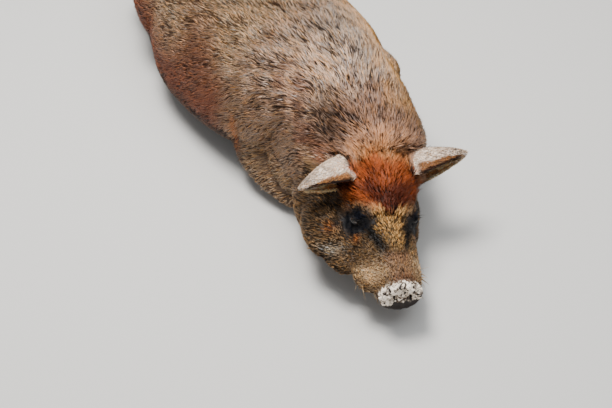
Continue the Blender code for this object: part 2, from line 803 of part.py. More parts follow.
def lock_object(places, side, width, thickness, collection):
    """One flat lock, three-sided with a low ridge on top, from the point and upward way of each station."""
    bm = bmesh.new()
    loops = []
    for (middle, up), (_, wide, thick) in zip(places, LOCK_STATIONS):
        half, ridge = side * (width / 2 * wide), up * (thickness * thick)
        ring = [middle + half, middle + ridge, middle - half] if wide else [middle]
        loops.append([bm.verts.new(point) for point in ring])
    bm.faces.new(loops[0])
    for here, there in zip(loops, loops[1:]):
        for k in range(3):
            m = (k + 1) % 3
            quad = (here[k], here[m], there[m % len(there)], there[k % len(there)])
            bm.faces.new(quad if len(there) > 1 else quad[:3])
    bmesh.ops.recalc_face_normals(bm, faces=bm.faces)
    bmesh.ops.triangulate(bm, faces=bm.faces)
    return object_from(bm, "lock", collection)


def coat_lock(tree, root, flow, size, rise, sway, spare, collection):
    """A lock that follows the surface under it, fattened by a spare width for a test of its room."""
    length = LOCK_LENGTH * size
    spot, normal, *_ = tree.find_nearest(root)
    flow = (flow - normal * flow.dot(normal)).normalized()
    side = flow.cross(normal)
    places = []
    for share, *_ in LOCK_STATIONS:
        bend = side * (sway * length * max(share, 0.0) ** 2)
        below, up, *_ = tree.find_nearest(spot + flow * (length * share) + bend)
        height = length * share * rise if share > 0 else -LOCK_SINK
        places.append((below + up * (height - spare), up))
    if spare:
        places[-1] = (places[-1][0] + flow * spare, places[-1][1])
    thickness = LOCK_THICKNESS * size ** 0.5 + spare * 2
    return lock_object(places, side, LOCK_WIDTH * size + spare * 4, thickness, collection)


def coat_roots(tree):
    """Root, lie, size and rise of each lock on the body, row by row from the rump to the neck."""
    made = []
    row, x = 0, COAT[0][0]
    neck_line = [(centre[0], centre[1]) for centre, *_ in NECK]
    while x < COAT[-1][0]:
        reach, size, rise = (read_row([(line[0], line[k]) for line in COAT], x) for k in (1, 2, 3))
        middle = read_row(neck_line, x) if x > NECK[1][0][0] else 0.0
        axis = posed(Vector((x, middle, read_row(COAT_AXIS, x))))
        spacing = LOCK_WIDTH * size * SIDE_STEP
        for sign in (1, -1):
            angle = 0.0
            first = row % 2
            while angle < math.radians(reach):
                outward = Vector((0, sign * math.sin(angle), math.cos(angle)))
                hit, *_ = tree.ray_cast(axis + outward, -outward)
                step = spacing / (hit - axis).length
                if first:
                    angle += step / 2
                    first = 0
                    continue
                if angle or sign > 0:
                    flow = Vector((-1, 0.10 * outward.y, -0.50 * abs(outward.y) ** 1.5))
                    forward = min(max(x + 0.3, 0.0) / 0.4, 1.0)
                    ridge = RIDGE_RISE * max(1 - angle / 0.35, 0.0) * (0.4 + 0.6 * forward)
                    made.append((hit, flow, size, rise + ridge))
                angle += step
        row, x = row + 1, x + ROW_STEP * size
    return made


def tuft_roots(tree):
    """Root, lie, size and rise of each lock on the crown, which fan out from between the eyes."""
    head = head_matrix()
    turn = head.to_3x3()
    made = []
    for x, breadth, size in reversed(TUFT):
        count = max(round(2 * breadth / (LOCK_WIDTH * size * SIDE_STEP)) + 1, 1)
        for k in range(count):
            across = breadth * (2 * k / max(count - 1, 1) - 1)
            hit, *_ = tree.ray_cast(head @ Vector((x, across, 0.4)), turn @ Vector((0, 0, -1)))
            flow = Vector((-1.0, 7 * across, 0.1))
            made.append((hit, turn @ flow, size, TUFT_RISE))
    return made


def nearest_node(trees, point):
    return min(trees, key=lambda name: trees[name].find_nearest(point)[3])


def dress(nodes, others, flesh_tree, workshop):
    """Grows each lock on the node under its root, raised or moved until it clears every other node."""
    draw = random.Random(11)
    trees = {name: surface_of(node) for name, node in {**nodes, **others}.items()}
    grown_on = {name: [] for name in nodes}
    for root, flow, size, rise in coat_roots(flesh_tree) + tuft_roots(flesh_tree):
        size *= draw.uniform(0.94, 1.06)
        sway = draw.uniform(-0.10, 0.10)
        for shift, lift in itertools.product(SHIFT_TRIES, LIFT_TRIES):
            start = root + flow.normalized() * shift
            owner = nearest_node(trees, start)
            if owner not in nodes:
                continue
            lie = (flesh_tree, start, flow, size, rise * lift, sway)
            fat = coat_lock(*lie, LOCK_CLEARANCE, workshop)
            room = surface_of(fat)
            bpy.data.objects.remove(fat)
            rivals = [tree for name, tree in trees.items() if name != owner]
            rivals += [tree for name, made in grown_on.items() if name != owner for _, tree in made]
            if not any(room.overlap(rival) for rival in rivals):
                made = coat_lock(*lie, 0.0, workshop)
                grown_on[owner].append((made, surface_of(made)))
                break
    for name, made in grown_on.items():
        if made:
            boolean(nodes[name], [obj for obj, _ in made], "UNION")


def switch_locks(collection):
    """Locks in rings round the end of the tail, splayed a little from it."""
    draw = random.Random(5)
    path = eased_rows(TAIL, 6)
    centres = [Vector(row[:3]) for row in path]
    made = []
    for ring, (share, length, splay) in enumerate(SWITCH):
        index = round(share * (len(path) - 1))
        ahead = along(centres, index)
        side = ahead.orthogonal().normalized()
        for k in range(SWITCH_ROUND):
            turn = Matrix.Rotation(2 * math.pi * (k + ring / 2) / SWITCH_ROUND, 3, ahead)
            outward = turn @ side
            size = length * draw.uniform(0.85, 1.15)
            places = []
            for reach, *_ in LOCK_STATIONS:
                out = path[index][3] * 0.55 + size * splay * max(reach, 0.0)
                fall = Vector((0, 0, -0.16 * size * max(reach, 0.0) ** 2))
                middle = centres[index] + ahead * (size * reach) + outward * out + fall
                places.append((middle, outward))
            across = ahead.cross(outward)
            made.append(lock_object(places, across, SWITCH_WIDTH, SWITCH_THICKNESS, collection))
    return made


def painted(obj, name, colour, roughness):
    material = bpy.data.materials.get(name) or bpy.data.materials.new(name)
    material.use_nodes = True
    shader = material.node_tree.nodes["Principled BSDF"]
    shader.inputs["Base Color"].default_value = (*colour, 1)
    shader.inputs["Roughness"].default_value = roughness
    shader.inputs["Metallic"].default_value = 0
    obj.data.materials.clear()
    obj.data.materials.append(material)


def clear_scene():
    for obj in list(bpy.data.objects):
        bpy.data.objects.remove(obj)


def main():
    clear_scene()
    pig = bpy.data.collections.new("domestic_pig")
    workshop = bpy.data.collections.new("cutters")
    for collection in (pig, workshop):
        bpy.context.scene.collection.children.link(collection)
    workshop.hide_render = True

    flesh = whole_flesh(workshop)
    flesh_tree = surface_of(flesh)

    # Legs out of the whole, with their claws let into the feet
    legs = {}
    hoof_beds = []
    feet = {
        # node: kind, side, limb that it ends, way that the front of the claw faces
        "leg_front_left": ("fore", 1, FORE_CANNON, Vector((0, 0, -1))),
        "leg_front_right": ("fore", -1, right_side(FORE_CANNON), Vector((0, 0, -1))),
        "leg_hind_left": ("hind", 1, HIND_CANNON, Vector((0, 0, 1))),
        "leg_hind_right": ("hind", -1, right_side(HIND_CANNON_TUCKED), Vector((0, 0, 1))),
    }
    for name, (kind, sign, limb, dorsal) in feet.items():
        leg = copy_of(flesh, name, pig)
        boolean(leg, [leg_region(kind, sign, 0.0, workshop)], "INTERSECT")
        hooves = claws(limb, dorsal, name, pig)
        hoof_beds += [grown(hoof, GAP * 3, workshop) for hoof in hooves]
        boolean(leg, [copy_of(bed, "bed", workshop) for bed in hoof_beds[-4:]], "DIFFERENCE")
        legs[name] = leg
        for hoof in hooves:
            painted(hoof, "hoof_horn", (0.045, 0.035, 0.030), 0.55)

    rest = copy_of(flesh, "rest", workshop)
    regions = [leg_region(kind, sign, GAP, workshop) for kind, sign, *_ in feet.values()]
    boolean(rest, regions + hoof_beds, "DIFFERENCE")

    # Torso, neck and head out of what is left
    head = head_matrix()
    head_point = head @ HEAD_CUT[0]
    head_normal = head.to_3x3() @ HEAD_CUT[1]
    torso = copy_of(rest, "torso", pig)
    boolean(torso, [half_space(NECK_CUT[0], -NECK_CUT[1], GAP / 2, "behind", workshop)], "INTERSECT")
    neck = copy_of(rest, "neck", pig)
    boolean(neck, [half_space(NECK_CUT[0], NECK_CUT[1], GAP / 2, "ahead", workshop)], "INTERSECT")
    boolean(neck, [half_space(head_point, -head_normal, GAP / 2, "behind", workshop)], "INTERSECT")
    head_node = copy_of(rest, "head", pig)
    boolean(head_node, [half_space(head_point, head_normal, GAP / 2, "ahead", workshop)], "INTERSECT")

    # Face
    tree = surface_of(head_node)
    eyes = [eye_place(tree, sign) for sign in (1, -1)]
    lids = [lid_ring(centre, look, "lids", workshop) for centre, look in eyes]
    boolean(head_node, lids, "UNION")
    balls = [build_eye(eyes[0][0], "eye_left", pig), build_eye(eyes[1][0], "eye_right", pig)]
    cuts = [grown(eye, GAP, workshop) for eye in balls]
    boolean(head_node, cuts + nostril_cutters(workshop) + [mouth_cutter(tree, workshop)], "DIFFERENCE")
    ears = [build_ear(name, head_node, pig, workshop) for name in EARS]

    # Tail
    bm = bmesh.new()
    tube(bm, TAIL, steps=2, count=8)
    bmesh.ops.triangulate(bm, faces=bm.faces)
    tail = object_from(bm, "tail", pig)
    boolean(tail, switch_locks(workshop), "UNION")
    posed_object(tail)
    boolean(tail, [grown(torso, GAP, workshop)], "DIFFERENCE")

    # Coat
    dressed = {"torso": torso, "neck": neck, "head": head_node}
    dressed.update(legs)
    others = {obj.name: obj for obj in [tail, *ears, *balls]}
    dress(dressed, others, flesh_tree, workshop)

    for node in [torso, neck, head_node, tail, *ears, *legs.values()]:
        painted(node, "bristled_skin", (0.20, 0.115, 0.070), 0.75)
    for eye in balls:
        painted(eye, "eye", (0.020, 0.012, 0.008), 0.08)

    for obj in pig.objects:
        for vertex in obj.data.vertices:
            vertex.co += CENTRE_SHIFT
        obj.data.shade_smooth()
        obj.data.set_sharp_from_angle(angle=math.radians(40))
    for obj in list(workshop.objects):
        bpy.data.objects.remove(obj)


main()
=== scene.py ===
"""A domestic pig resting on its breastbone, life size: the looks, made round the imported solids.

Metres, +Z up. The nose points to +X and the pig's left is +Y.
"""

import json
import math

import bmesh
import bpy
import numpy as np
from mathutils import Matrix, Vector
from mathutils.bvhtree import BVHTree
from mathutils.kdtree import KDTree

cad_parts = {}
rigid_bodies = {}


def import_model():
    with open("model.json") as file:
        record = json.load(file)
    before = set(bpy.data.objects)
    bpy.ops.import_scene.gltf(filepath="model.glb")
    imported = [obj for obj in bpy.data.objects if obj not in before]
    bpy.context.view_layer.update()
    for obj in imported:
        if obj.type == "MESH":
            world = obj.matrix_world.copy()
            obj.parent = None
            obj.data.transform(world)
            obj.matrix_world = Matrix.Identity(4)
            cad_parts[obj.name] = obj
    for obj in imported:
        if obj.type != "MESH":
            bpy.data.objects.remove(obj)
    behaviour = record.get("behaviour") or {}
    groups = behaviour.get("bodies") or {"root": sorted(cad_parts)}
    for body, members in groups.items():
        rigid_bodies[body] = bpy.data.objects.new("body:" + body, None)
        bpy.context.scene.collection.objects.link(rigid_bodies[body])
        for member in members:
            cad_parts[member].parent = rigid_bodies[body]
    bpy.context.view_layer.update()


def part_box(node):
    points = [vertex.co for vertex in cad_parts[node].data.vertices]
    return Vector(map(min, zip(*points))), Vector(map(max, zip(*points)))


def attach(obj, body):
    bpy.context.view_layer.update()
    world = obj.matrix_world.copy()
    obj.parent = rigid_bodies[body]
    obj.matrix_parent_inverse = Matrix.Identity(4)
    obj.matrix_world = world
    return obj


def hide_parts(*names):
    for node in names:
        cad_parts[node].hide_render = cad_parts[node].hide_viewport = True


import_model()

# Where the pig is shown: a plain pale floor under soft studio light, seen from above and before its
# right shoulder through a long lens. The hindquarters run out of the top of the picture.
SIGHT_AZIMUTH = math.radians(59.4)
SIGHT_ELEVATION = math.radians(46)
SIGHT_POINT = Vector((0.3587, -0.1466, 0.100))
SIGHT_DISTANCE = 3.33
LENS = 85
FLOOR_SIDE = 60
LIGHTS = {
    # name: place, side of the square, watts, tint
    "key_panel": ((-0.50, -0.45, 3.30), 1.2, 196, (1.0, 0.975, 0.94)),
    "sky_panel": ((0.70, 0.30, 3.60), 3.2, 85, (0.95, 0.98, 1.0)),
    "front_panel": ((2.60, -2.20, 1.90), 2.4, 12, (1.0, 0.97, 0.94)),
}

sight = Vector((
    -math.sin(SIGHT_AZIMUTH) * math.cos(SIGHT_ELEVATION),
    math.cos(SIGHT_AZIMUTH) * math.cos(SIGHT_ELEVATION),
    -math.sin(SIGHT_ELEVATION),
))
bpy.ops.object.camera_add(
    location=SIGHT_POINT - sight * SIGHT_DISTANCE, rotation=sight.to_track_quat("-Z", "Y").to_euler()
)
camera = bpy.context.object
camera.data.lens = LENS
camera.data.dof.use_dof = False
bpy.context.scene.camera = camera

for name, (place, side, watts, tint) in LIGHTS.items():
    aim = (Vector((0.15, 0, 0.1)) - Vector(place)).to_track_quat("-Z", "Y").to_euler()
    bpy.ops.object.light_add(type="AREA", location=place, rotation=aim)
    panel = bpy.context.object
    panel.name = name
    panel.data.size = side
    panel.data.energy = watts
    panel.data.color = tint
world = bpy.data.worlds.new("studio")
world.use_nodes = True
world.node_tree.nodes["Background"].inputs["Color"].default_value = (0.93, 0.96, 1.0, 1)
world.node_tree.nodes["Background"].inputs["Strength"].default_value = 0.30
bpy.context.scene.world = world

bpy.ops.mesh.primitive_plane_add(size=FLOOR_SIDE)
floor = bpy.context.object
floor.name = "floor"
floor_paint = bpy.data.materials.new("pale_floor")
floor_paint.use_nodes = True
floor_paint.node_tree.nodes["Principled BSDF"].inputs["Base Color"].default_value = (0.62, 0.61, 0.59, 1)
floor_paint.node_tree.nodes["Principled BSDF"].inputs["Roughness"].default_value = 0.9
floor.data.materials.append(floor_paint)


# The flesh: one closed skin over the whole animal, from the same rounded masses as the solids. It is
# modelled straight, fused, smoothed, let in by the depth of the coat, then bent as the pig lies.
CENTRE_SHIFT = np.array((-0.0013, 0.0334, 0.0))
HEAD_ORIGIN = Vector((0.418, -0.052, 0.136))
HEAD_YAW, HEAD_PITCH, HEAD_ROLL = math.radians(-17.5), math.radians(7), math.radians(-15)
# Torso: x, half width, top, height of the widest line, bottom
TORSO = [
    (-0.640, 0.020, 0.270, 0.235, 0.200),
    (-0.620, 0.080, 0.325, 0.225, 0.110),
    (-0.570, 0.115, 0.358, 0.210, 0.050),
    (-0.480, 0.152, 0.385, 0.190, 0.010),
    (-0.360, 0.182, 0.395, 0.165, -0.012),
    (-0.220, 0.224, 0.397, 0.138, -0.015),
    (-0.080, 0.232, 0.397, 0.136, -0.012),
    (0.040, 0.219, 0.401, 0.150, 0.008),
    (0.140, 0.194, 0.405, 0.175, 0.026),
    (0.240, 0.161, 0.384, 0.190, 0.035),
    (0.320, 0.142, 0.338, 0.190, 0.050),
    (0.380, 0.085, 0.280, 0.180, 0.100),
]
TORSO_PEAK, TORSO_BELLY = 1.14, 0.85
BEND_PLACES = (-0.70, -0.46, -0.36, -0.24, -0.08, 0.04, 0.14, 0.26, 0.32)
BEND_SHIFTS = (-0.022, -0.028, -0.044, -0.046, -0.032, -0.028, -0.022, -0.006, 0.0)
LEAN, LEAN_HEIGHT = 0.12, 0.15
# Neck: x, y, z of its middle, half width, rise, drop
NECK = [
    (0.150, -0.004, 0.220, 0.140, 0.158, 0.160),
    (0.270, -0.018, 0.188, 0.168, 0.158, 0.155),
    (0.345, -0.031, 0.162, 0.164, 0.144, 0.142),
    (0.400, -0.048, 0.143, 0.142, 0.120, 0.132),
    (0.440, -0.048, 0.134, 0.118, 0.086, 0.108),
]
# Skull and jaw, in the head frame, as the torso
SKULL = [
    (-0.060, 0.095, 0.092, 0.000, -0.090),
    (-0.010, 0.110, 0.116, -0.010, -0.112),
    (0.040, 0.112, 0.116, -0.026, -0.116),
    (0.085, 0.103, 0.096, -0.034, -0.106),
    (0.125, 0.091, 0.070, -0.030, -0.088),
    (0.165, 0.080, 0.052, -0.022, -0.066),
    (0.205, 0.072, 0.043, -0.014, -0.050),
    (0.245, 0.065, 0.038, -0.010, -0.042),
    (0.275, 0.055, 0.036, -0.005, -0.036),
    (0.290, 0.049, 0.038, -0.002, -0.035),
    (0.300, 0.050, 0.040, 0.000, -0.036),
    (0.308, 0.045, 0.036, 0.000, -0.033),
]
JAW = [
    (0.020, 0.085, -0.030, -0.070, -0.116),
    (0.080, 0.080, -0.030, -0.066, -0.113),
    (0.150, 0.062, -0.032, -0.060, -0.096),
    (0.210, 0.052, -0.034, -0.054, -0.078),
    (0.248, 0.041, -0.033, -0.048, -0.066),
    (0.266, 0.023, -0.035, -0.044, -0.057),
]
HEAD_MASSES = [
    ((0.005, 0.090, -0.058), (0.100, 0.064, 0.060), -0.008),
    ((0.085, 0.086, -0.034), (0.080, 0.055, 0.052), -0.029),
    ((0.135, 0.060, -0.040), (0.075, 0.052, 0.036), -0.024),
    ((0.098, 0.053, 0.042), (0.044, 0.026, 0.024), 0.0),
    ((0.222, 0.049, -0.020), (0.052, 0.029, 0.026), -0.007),
    ((0.000, 0.074, 0.066), (0.040, 0.032, 0.036), 0.003),
]
BODY_MASSES = [
    ((0.140, 0.108, 0.196), (0.128, 0.072, 0.122), -18),
    ((0.268, 0.140, 0.118), (0.090, 0.050, 0.062), 20),
    ((-0.500, 0.098, 0.185), (0.120, 0.078, 0.145), 14),
    ((-0.400, 0.128, 0.190), (0.140, 0.074, 0.110), 24),
    ((-0.585, 0.048, 0.225), (0.044, 0.050, 0.095), 0),
]
# Limbs on the pig's left: x, y, z, radius
FORE_CANNON = [
    (0.268, 0.147, 0.034, 0.031),
    (0.225, 0.128, 0.023, 0.025),
    (0.175, 0.112, 0.022, 0.024),
    (0.150, 0.109, 0.025, 0.027),
    (0.124, 0.107, 0.024, 0.023),
    (0.106, 0.106, 0.023, 0.021),
]
HIND_CANNON = [
    (-0.522, 0.194, 0.032, 0.030),
    (-0.465, 0.208, 0.025, 0.026),
    (-0.410, 0.217, 0.023, 0.025),
    (-0.382, 0.220, 0.026, 0.028),
    (-0.356, 0.222, 0.024, 0.024),
    (-0.338, 0.223, 0.023, 0.022),
]
# The right hind leg is drawn in under the belly
TUCKED_CANNON = [
    (-0.522, 0.072, 0.032, 0.030),
    (-0.465, 0.086, 0.025, 0.026),
    (-0.410, 0.098, 0.023, 0.025),
    (-0.382, 0.104, 0.026, 0.028),
    (-0.356, 0.108, 0.024, 0.024),
    (-0.338, 0.111, 0.023, 0.022),
]
UPPER_ARM = [(0.195, 0.105, 0.260, 0.070), (0.145, 0.132, 0.175, 0.064), (0.104, 0.146, 0.105, 0.050)]
FOREARM = [
    (0.101, 0.147, 0.092, 0.046),
    (0.155, 0.158, 0.078, 0.045),
    (0.215, 0.157, 0.060, 0.038),
    (0.264, 0.153, 0.044, 0.034),
]
GASKIN = [
    (-0.285, 0.178, 0.115, 0.056),
    (-0.350, 0.178, 0.108, 0.055),
    (-0.430, 0.180, 0.090, 0.044),
    (-0.490, 0.186, 0.060, 0.035),
    (-0.520, 0.190, 0.042, 0.032),
]
TUCKED_GASKIN = [
    (-0.285, 0.128, 0.110, 0.056),
    (-0.350, 0.126, 0.100, 0.054),
    (-0.430, 0.110, 0.080, 0.043),
    (-0.490, 0.084, 0.055, 0.035),
    (-0.520, 0.072, 0.042, 0.032),
]
TAIL = [
    (-0.625, 0.000, 0.290, 0.017),
    (-0.655, 0.004, 0.262, 0.0125),
    (-0.664, 0.010, 0.226, 0.0100),
    (-0.660, 0.004, 0.190, 0.0085),
    (-0.664, -0.012, 0.162, 0.0075),
    (-0.674, -0.018, 0.140, 0.0065),
    (-0.684, -0.008, 0.124, 0.0055),
    (-0.682, 0.006, 0.112, 0.0045),
]
SKIN_VOXEL = 0.0042
# How often the fused skin is smoothed: on the head, on the body, in the crease from foreleg to neck
HEAD_ROUNDS, BODY_ROUNDS, CREASE_ROUNDS = 9, 18, 50
FLAT_DEPTH = 0.004
COAT_DEPTH = 0.003  # the skin lies this far inside the solids
BODY_TRIANGLES = 26000
FURROW_MIDDLE, FURROW_WAY = np.array((0.345, -0.103, 0.291)), np.array((0.435, 0.797, 0.418))
LEG_CREASE = np.array((0.250, -0.190, 0.175)), np.array((0.335, -0.185, 0.115))
FAR_SHOULDER = np.array((0.205, 0.150, 0.305))
FURROW_DEPTH, SHOULDER_DEPTH = 0.009, 0.018


def smooth(low, high, values):
    """Rises from 0 at low to 1 at high, or falls where low is above high."""
    t = np.clip((values - low) / (high - low), 0.0, 1.0)
    return t * t * (3 - 2 * t)


def hump(values, middle, reach):
    """A bell of height 1 round the middle."""
    return np.exp(-((values - middle) / reach) ** 2)


def eased(rows, steps):
    """Smooth rows of numbers laid between the given ones."""
    rows = np.array(rows, float)
    padded = np.vstack([rows[:1], rows, rows[-1:]])
    made = []
    for a, b, c, d in zip(padded, padded[1:], padded[2:], padded[3:]):
        for t in np.arange(steps) / steps:
            made.append(b + 0.5 * t * (c - a + t * (2 * a - 5 * b + 4 * c - d + t * (3 * (b - c) + d - a))))
    return np.array(made + [rows[-1]])


def bent(points):
    """Points of the straight pig, moved by the bend and lean of its body and set over the origin."""
    x, y, z = points.T
    steps = (-0.06, -0.03, 0.0, 0.03, 0.06)
    shift = sum(np.interp(x + step, BEND_PLACES, BEND_SHIFTS) for step in steps) / len(steps)
    lean = LEAN * (z - LEAN_HEIGHT) * smooth(0.34, 0.20, x)
    return np.stack([x, y + shift + lean, z], axis=1) + CENTRE_SHIFT


head_place = (
    Matrix.Translation(HEAD_ORIGIN)
    @ Matrix.Rotation(HEAD_YAW, 4, "Z")
    @ Matrix.Rotation(HEAD_PITCH, 4, "Y")
    @ Matrix.Rotation(HEAD_ROLL, 4, "X")
)
HEAD_TURN = np.array(head_place.to_3x3())


def head_way(*way):
    """A direction of the head, as the straight pig has it."""
    return np.array(head_place.to_3x3() @ Vector(way))


def in_head(points):
    """Points of the straight pig, seen from the head: x to the snout, y to its left, z to the crown."""
    return (points - np.array(HEAD_ORIGIN)) @ HEAD_TURN


def add_rings(bm, rings):
    """One closed form through rings of points, capped at both ends."""
    loops = [[bm.verts.new(point) for point in ring] for ring in rings]
    for here, there in zip(loops, loops[1:]):
        for k in range(len(here)):
            bm.faces.new((here[k - 1], here[k], there[k], there[k - 1]))
    bm.faces.new(loops[0])
    bm.faces.new(loops[-1][::-1])


def trunk_rings(rows, peak, belly, matrix):
    """Cross-sections of the torso or head from x, half width, top, widest line and bottom."""
    turn = np.arange(48) * 2 * math.pi / 48
    across, height = np.cos(turn), np.sin(turn)
    rings = []
    for x, half, top, widest, bottom in eased(rows, 4):
        y = np.sign(across) * np.abs(across) ** np.where(height > 0, peak, belly) * half
        z = widest + height * np.where(height > 0, top - widest, widest - bottom)
        rings.append([matrix @ Vector((x, *point)) for point in zip(y, z)])
    return rings


def limb_rings(rows, count=24, steps=5):
    """Round cross-sections along x, y, z, radius, closed in by a dome at each end."""
    rows = eased(rows, steps)
    centres, radii = rows[:, :3], rows[:, 3]
    ahead = np.gradient(centres, axis=0)
    ahead /= np.linalg.norm(ahead, axis=1)[:, None]
    side = np.cross(ahead[0], (0.2, 0, 1))
    turn = np.arange(count) * 2 * math.pi / count
    rings = []
    for centre, radius, way in zip(centres, radii, ahead):
        side = side - way * side.dot(way)
        side /= np.linalg.norm(side)
        up = np.cross(way, side)
        rings.append(centre + radius * (np.cos(turn)[:, None] * side + np.sin(turn)[:, None] * up))
    for end, sign in ((0, -1), (-1, 1)):
        flat = rings[end]
        domes = [
            centres[end] + (flat - centres[end]) * math.cos(a)
            + ahead[end] * (sign * radii[end] * math.sin(a))
            for a in map(math.radians, (30, 60, 80))
        ]
        rings = rings + domes if sign > 0 else domes[::-1] + rings
    return rings


def new_object(bm, name):
    """A mesh object at the origin with its faces turned outwards."""
    bmesh.ops.recalc_face_normals(bm, faces=bm.faces)
    mesh = bpy.data.meshes.new(name)
    bm.to_mesh(mesh)
    bm.free()
    made = bpy.data.objects.new(name, mesh)
    bpy.context.scene.collection.objects.link(made)
    return made


def apply_all(obj):
    """Applies the object's modifiers as from the modifier menu."""
    bpy.ops.object.select_all(action="DESELECT")
    obj.select_set(True)
    bpy.context.view_layer.objects.active = obj
    for modifier in list(obj.modifiers):
        bpy.ops.object.modifier_apply(modifier=modifier.name)


def points_of(obj):
    """The object's vertices as rows of numbers."""
    made = np.empty(len(obj.data.vertices) * 3)
    obj.data.vertices.foreach_get("co", made)
    return made.reshape(-1, 3)


def normals_of(obj):
    made = np.empty(len(obj.data.vertices) * 3, np.float32)
    obj.data.vertex_normals.foreach_get("vector", made)
    return made.reshape(-1, 3).astype(float)


def move_points(obj, points):
    obj.data.vertices.foreach_set("co", points.ravel())
    obj.data.update()


def points_off_line(points, start, end):
    """How far points lie from the straight line between two places."""
    way = end - start
    share = ((points - start) @ way / (way @ way)).clip(0, 1)
    return np.linalg.norm(points - start - share[:, None] * way, axis=1)


def weigh(obj, name, weights):
    """A vertex group with one weight for each vertex, rounded to twentieths."""
    group = obj.vertex_groups.new(name=name)
    steps = np.round(weights * 20).astype(int)
    for step in range(1, 21):
        group.add(np.flatnonzero(steps == step).tolist(), step / 20, "REPLACE")


def smooth_by(obj, group, rounds):
    modifier = obj.modifiers.new("ease", "SMOOTH")
    modifier.iterations = rounds
    modifier.vertex_group = group


bm = bmesh.new()
add_rings(bm, trunk_rings(TORSO, TORSO_PEAK, TORSO_BELLY, Matrix()))
neck_rows = eased(NECK, 5)
neck_ways = np.gradient(neck_rows[:, :3], axis=0)
neck_rings = []
for (x, y, z, half, rise, drop), way in zip(neck_rows, neck_ways):
    way = Vector(way).normalized()
    side = Vector((0, 0, 1)).cross(way).normalized()
    up = way.cross(side)
    ring = []
    for turn in np.arange(48) * 2 * math.pi / 48:
        across = math.copysign(abs(math.cos(turn)) ** (1.12 if math.sin(turn) > 0 else 1.0), math.cos(turn))
        lift = math.sin(turn) * (rise if math.sin(turn) > 0 else drop)
        ring.append(Vector((x, y, z)) + side * (half * across) + up * lift)
    neck_rings.append(ring)
add_rings(bm, neck_rings)
add_rings(bm, trunk_rings(SKULL, 1.12, 1.0, head_place))
add_rings(bm, trunk_rings(JAW, 1.0, 1.0, head_place))
for limb in (UPPER_ARM, FOREARM, FORE_CANNON, GASKIN, HIND_CANNON):
    add_rings(bm, limb_rings(limb))
for limb in (UPPER_ARM, FOREARM, FORE_CANNON, TUCKED_GASKIN, TUCKED_CANNON):
    add_rings(bm, limb_rings([(x, -y, z, radius) for x, y, z, radius in limb]))
add_rings(bm, limb_rings(TAIL, 16))
skin = new_object(bm, "skin")

for sign in (1, -1):
    for (x, y, z), radii, shift in HEAD_MASSES:
        bpy.ops.mesh.primitive_uv_sphere_add(segments=40, ring_count=24, radius=1)
        mass = bpy.context.object
        place = head_place @ Matrix.Translation((x, sign * y + shift, z))
        mass.matrix_world = place @ Matrix.Diagonal((*radii, 1))
        mass.name = "mass"
    for (x, y, z), radii, pitch in BODY_MASSES:
        bpy.ops.mesh.primitive_uv_sphere_add(
            segments=40, ring_count=24, radius=1,
            location=(x, sign * y, z), rotation=(0, math.radians(pitch), 0), scale=radii,
        )
        bpy.context.object.name = "mass"
bpy.ops.object.select_all(action="DESELECT")
for mass in [obj for obj in bpy.context.scene.objects if obj.name.startswith("mass")]:
    mass.select_set(True)
skin.select_set(True)
bpy.context.view_layer.objects.active = skin
bpy.ops.object.join()

fuse = skin.modifiers.new("fuse", "REMESH")
fuse.mode = "VOXEL"
fuse.voxel_size = SKIN_VOXEL
apply_all(skin)
places = points_of(skin)
body_share = smooth(0.02, -0.06, in_head(places)[:, 0]) * np.where(places[:, 2] < 0.06, 0.3, 1.0)
body_share *= smooth(-0.64, -0.61, places[:, 0])
weigh(skin, "body", body_share)
smooth_by(skin, "", HEAD_ROUNDS)
smooth_by(skin, "body", BODY_ROUNDS)
weigh(skin, "crease", smooth(0.075, 0.030, points_off_line(places, *LEG_CREASE)))
smooth_by(skin, "crease", CREASE_ROUNDS)
apply_all(skin)

# Let the skin in by the depth of the coat, all but the muzzle and the flats it lies on
places, ways = points_of(skin), normals_of(skin)
seen = in_head(places)
depth = COAT_DEPTH * smooth(0.27, 0.10, seen[:, 0]) * smooth(-0.645, -0.615, places[:, 0])
# A furrow parts neck and right shoulder, and the far shoulder lies smooth under the skin
across_furrow = (places - FURROW_MIDDLE) @ FURROW_WAY
along_furrow = np.linalg.norm(places - FURROW_MIDDLE, axis=1)
depth += FURROW_DEPTH * hump(across_furrow, 0, 0.015) * hump(along_furrow, 0, 0.070) * (places[:, 1] < 0)
depth += SHOULDER_DEPTH * hump(np.linalg.norm((places - FAR_SHOULDER) * (0.8, 1, 1), axis=1), 0, 0.058)
places = places - ways * depth[:, None]
places[:, 2] = np.where(places[:, 2] < FLAT_DEPTH + COAT_DEPTH, 0.0, places[:, 2])
move_points(skin, places)

thin = skin.modifiers.new("thin", "DECIMATE")
away = smooth(-0.02, -0.09, in_head(places)[:, 0]) * smooth(-0.64, -0.60, places[:, 0])
skin.vertex_groups.clear()
weigh(skin, "away", away)
thin.vertex_group = "away"
thin.vertex_group_factor = 10.0
thin.ratio = (BODY_TRIANGLES + 2 * (away < 0.5).sum()) / (2 * len(places))
apply_all(skin)


# The ears: cupped leaves of gristle in thin skin, grown out of the poll. The left one stands out to the
# side and the right one droops forwards, and both show their hollow to the front.
EARS = {
    # side: root, tip, the way the hollow faces, how far its mouth gapes, all in the head frame
    "left": ((0.006, 0.066, 0.074), (-0.005, 0.206, 0.123), (0.93, 0.05, -0.20), 1.45),
    "right": ((0.006, -0.066, 0.074), (0.044, -0.190, 0.056), (0.93, 0.05, -0.24), 1.20),
}
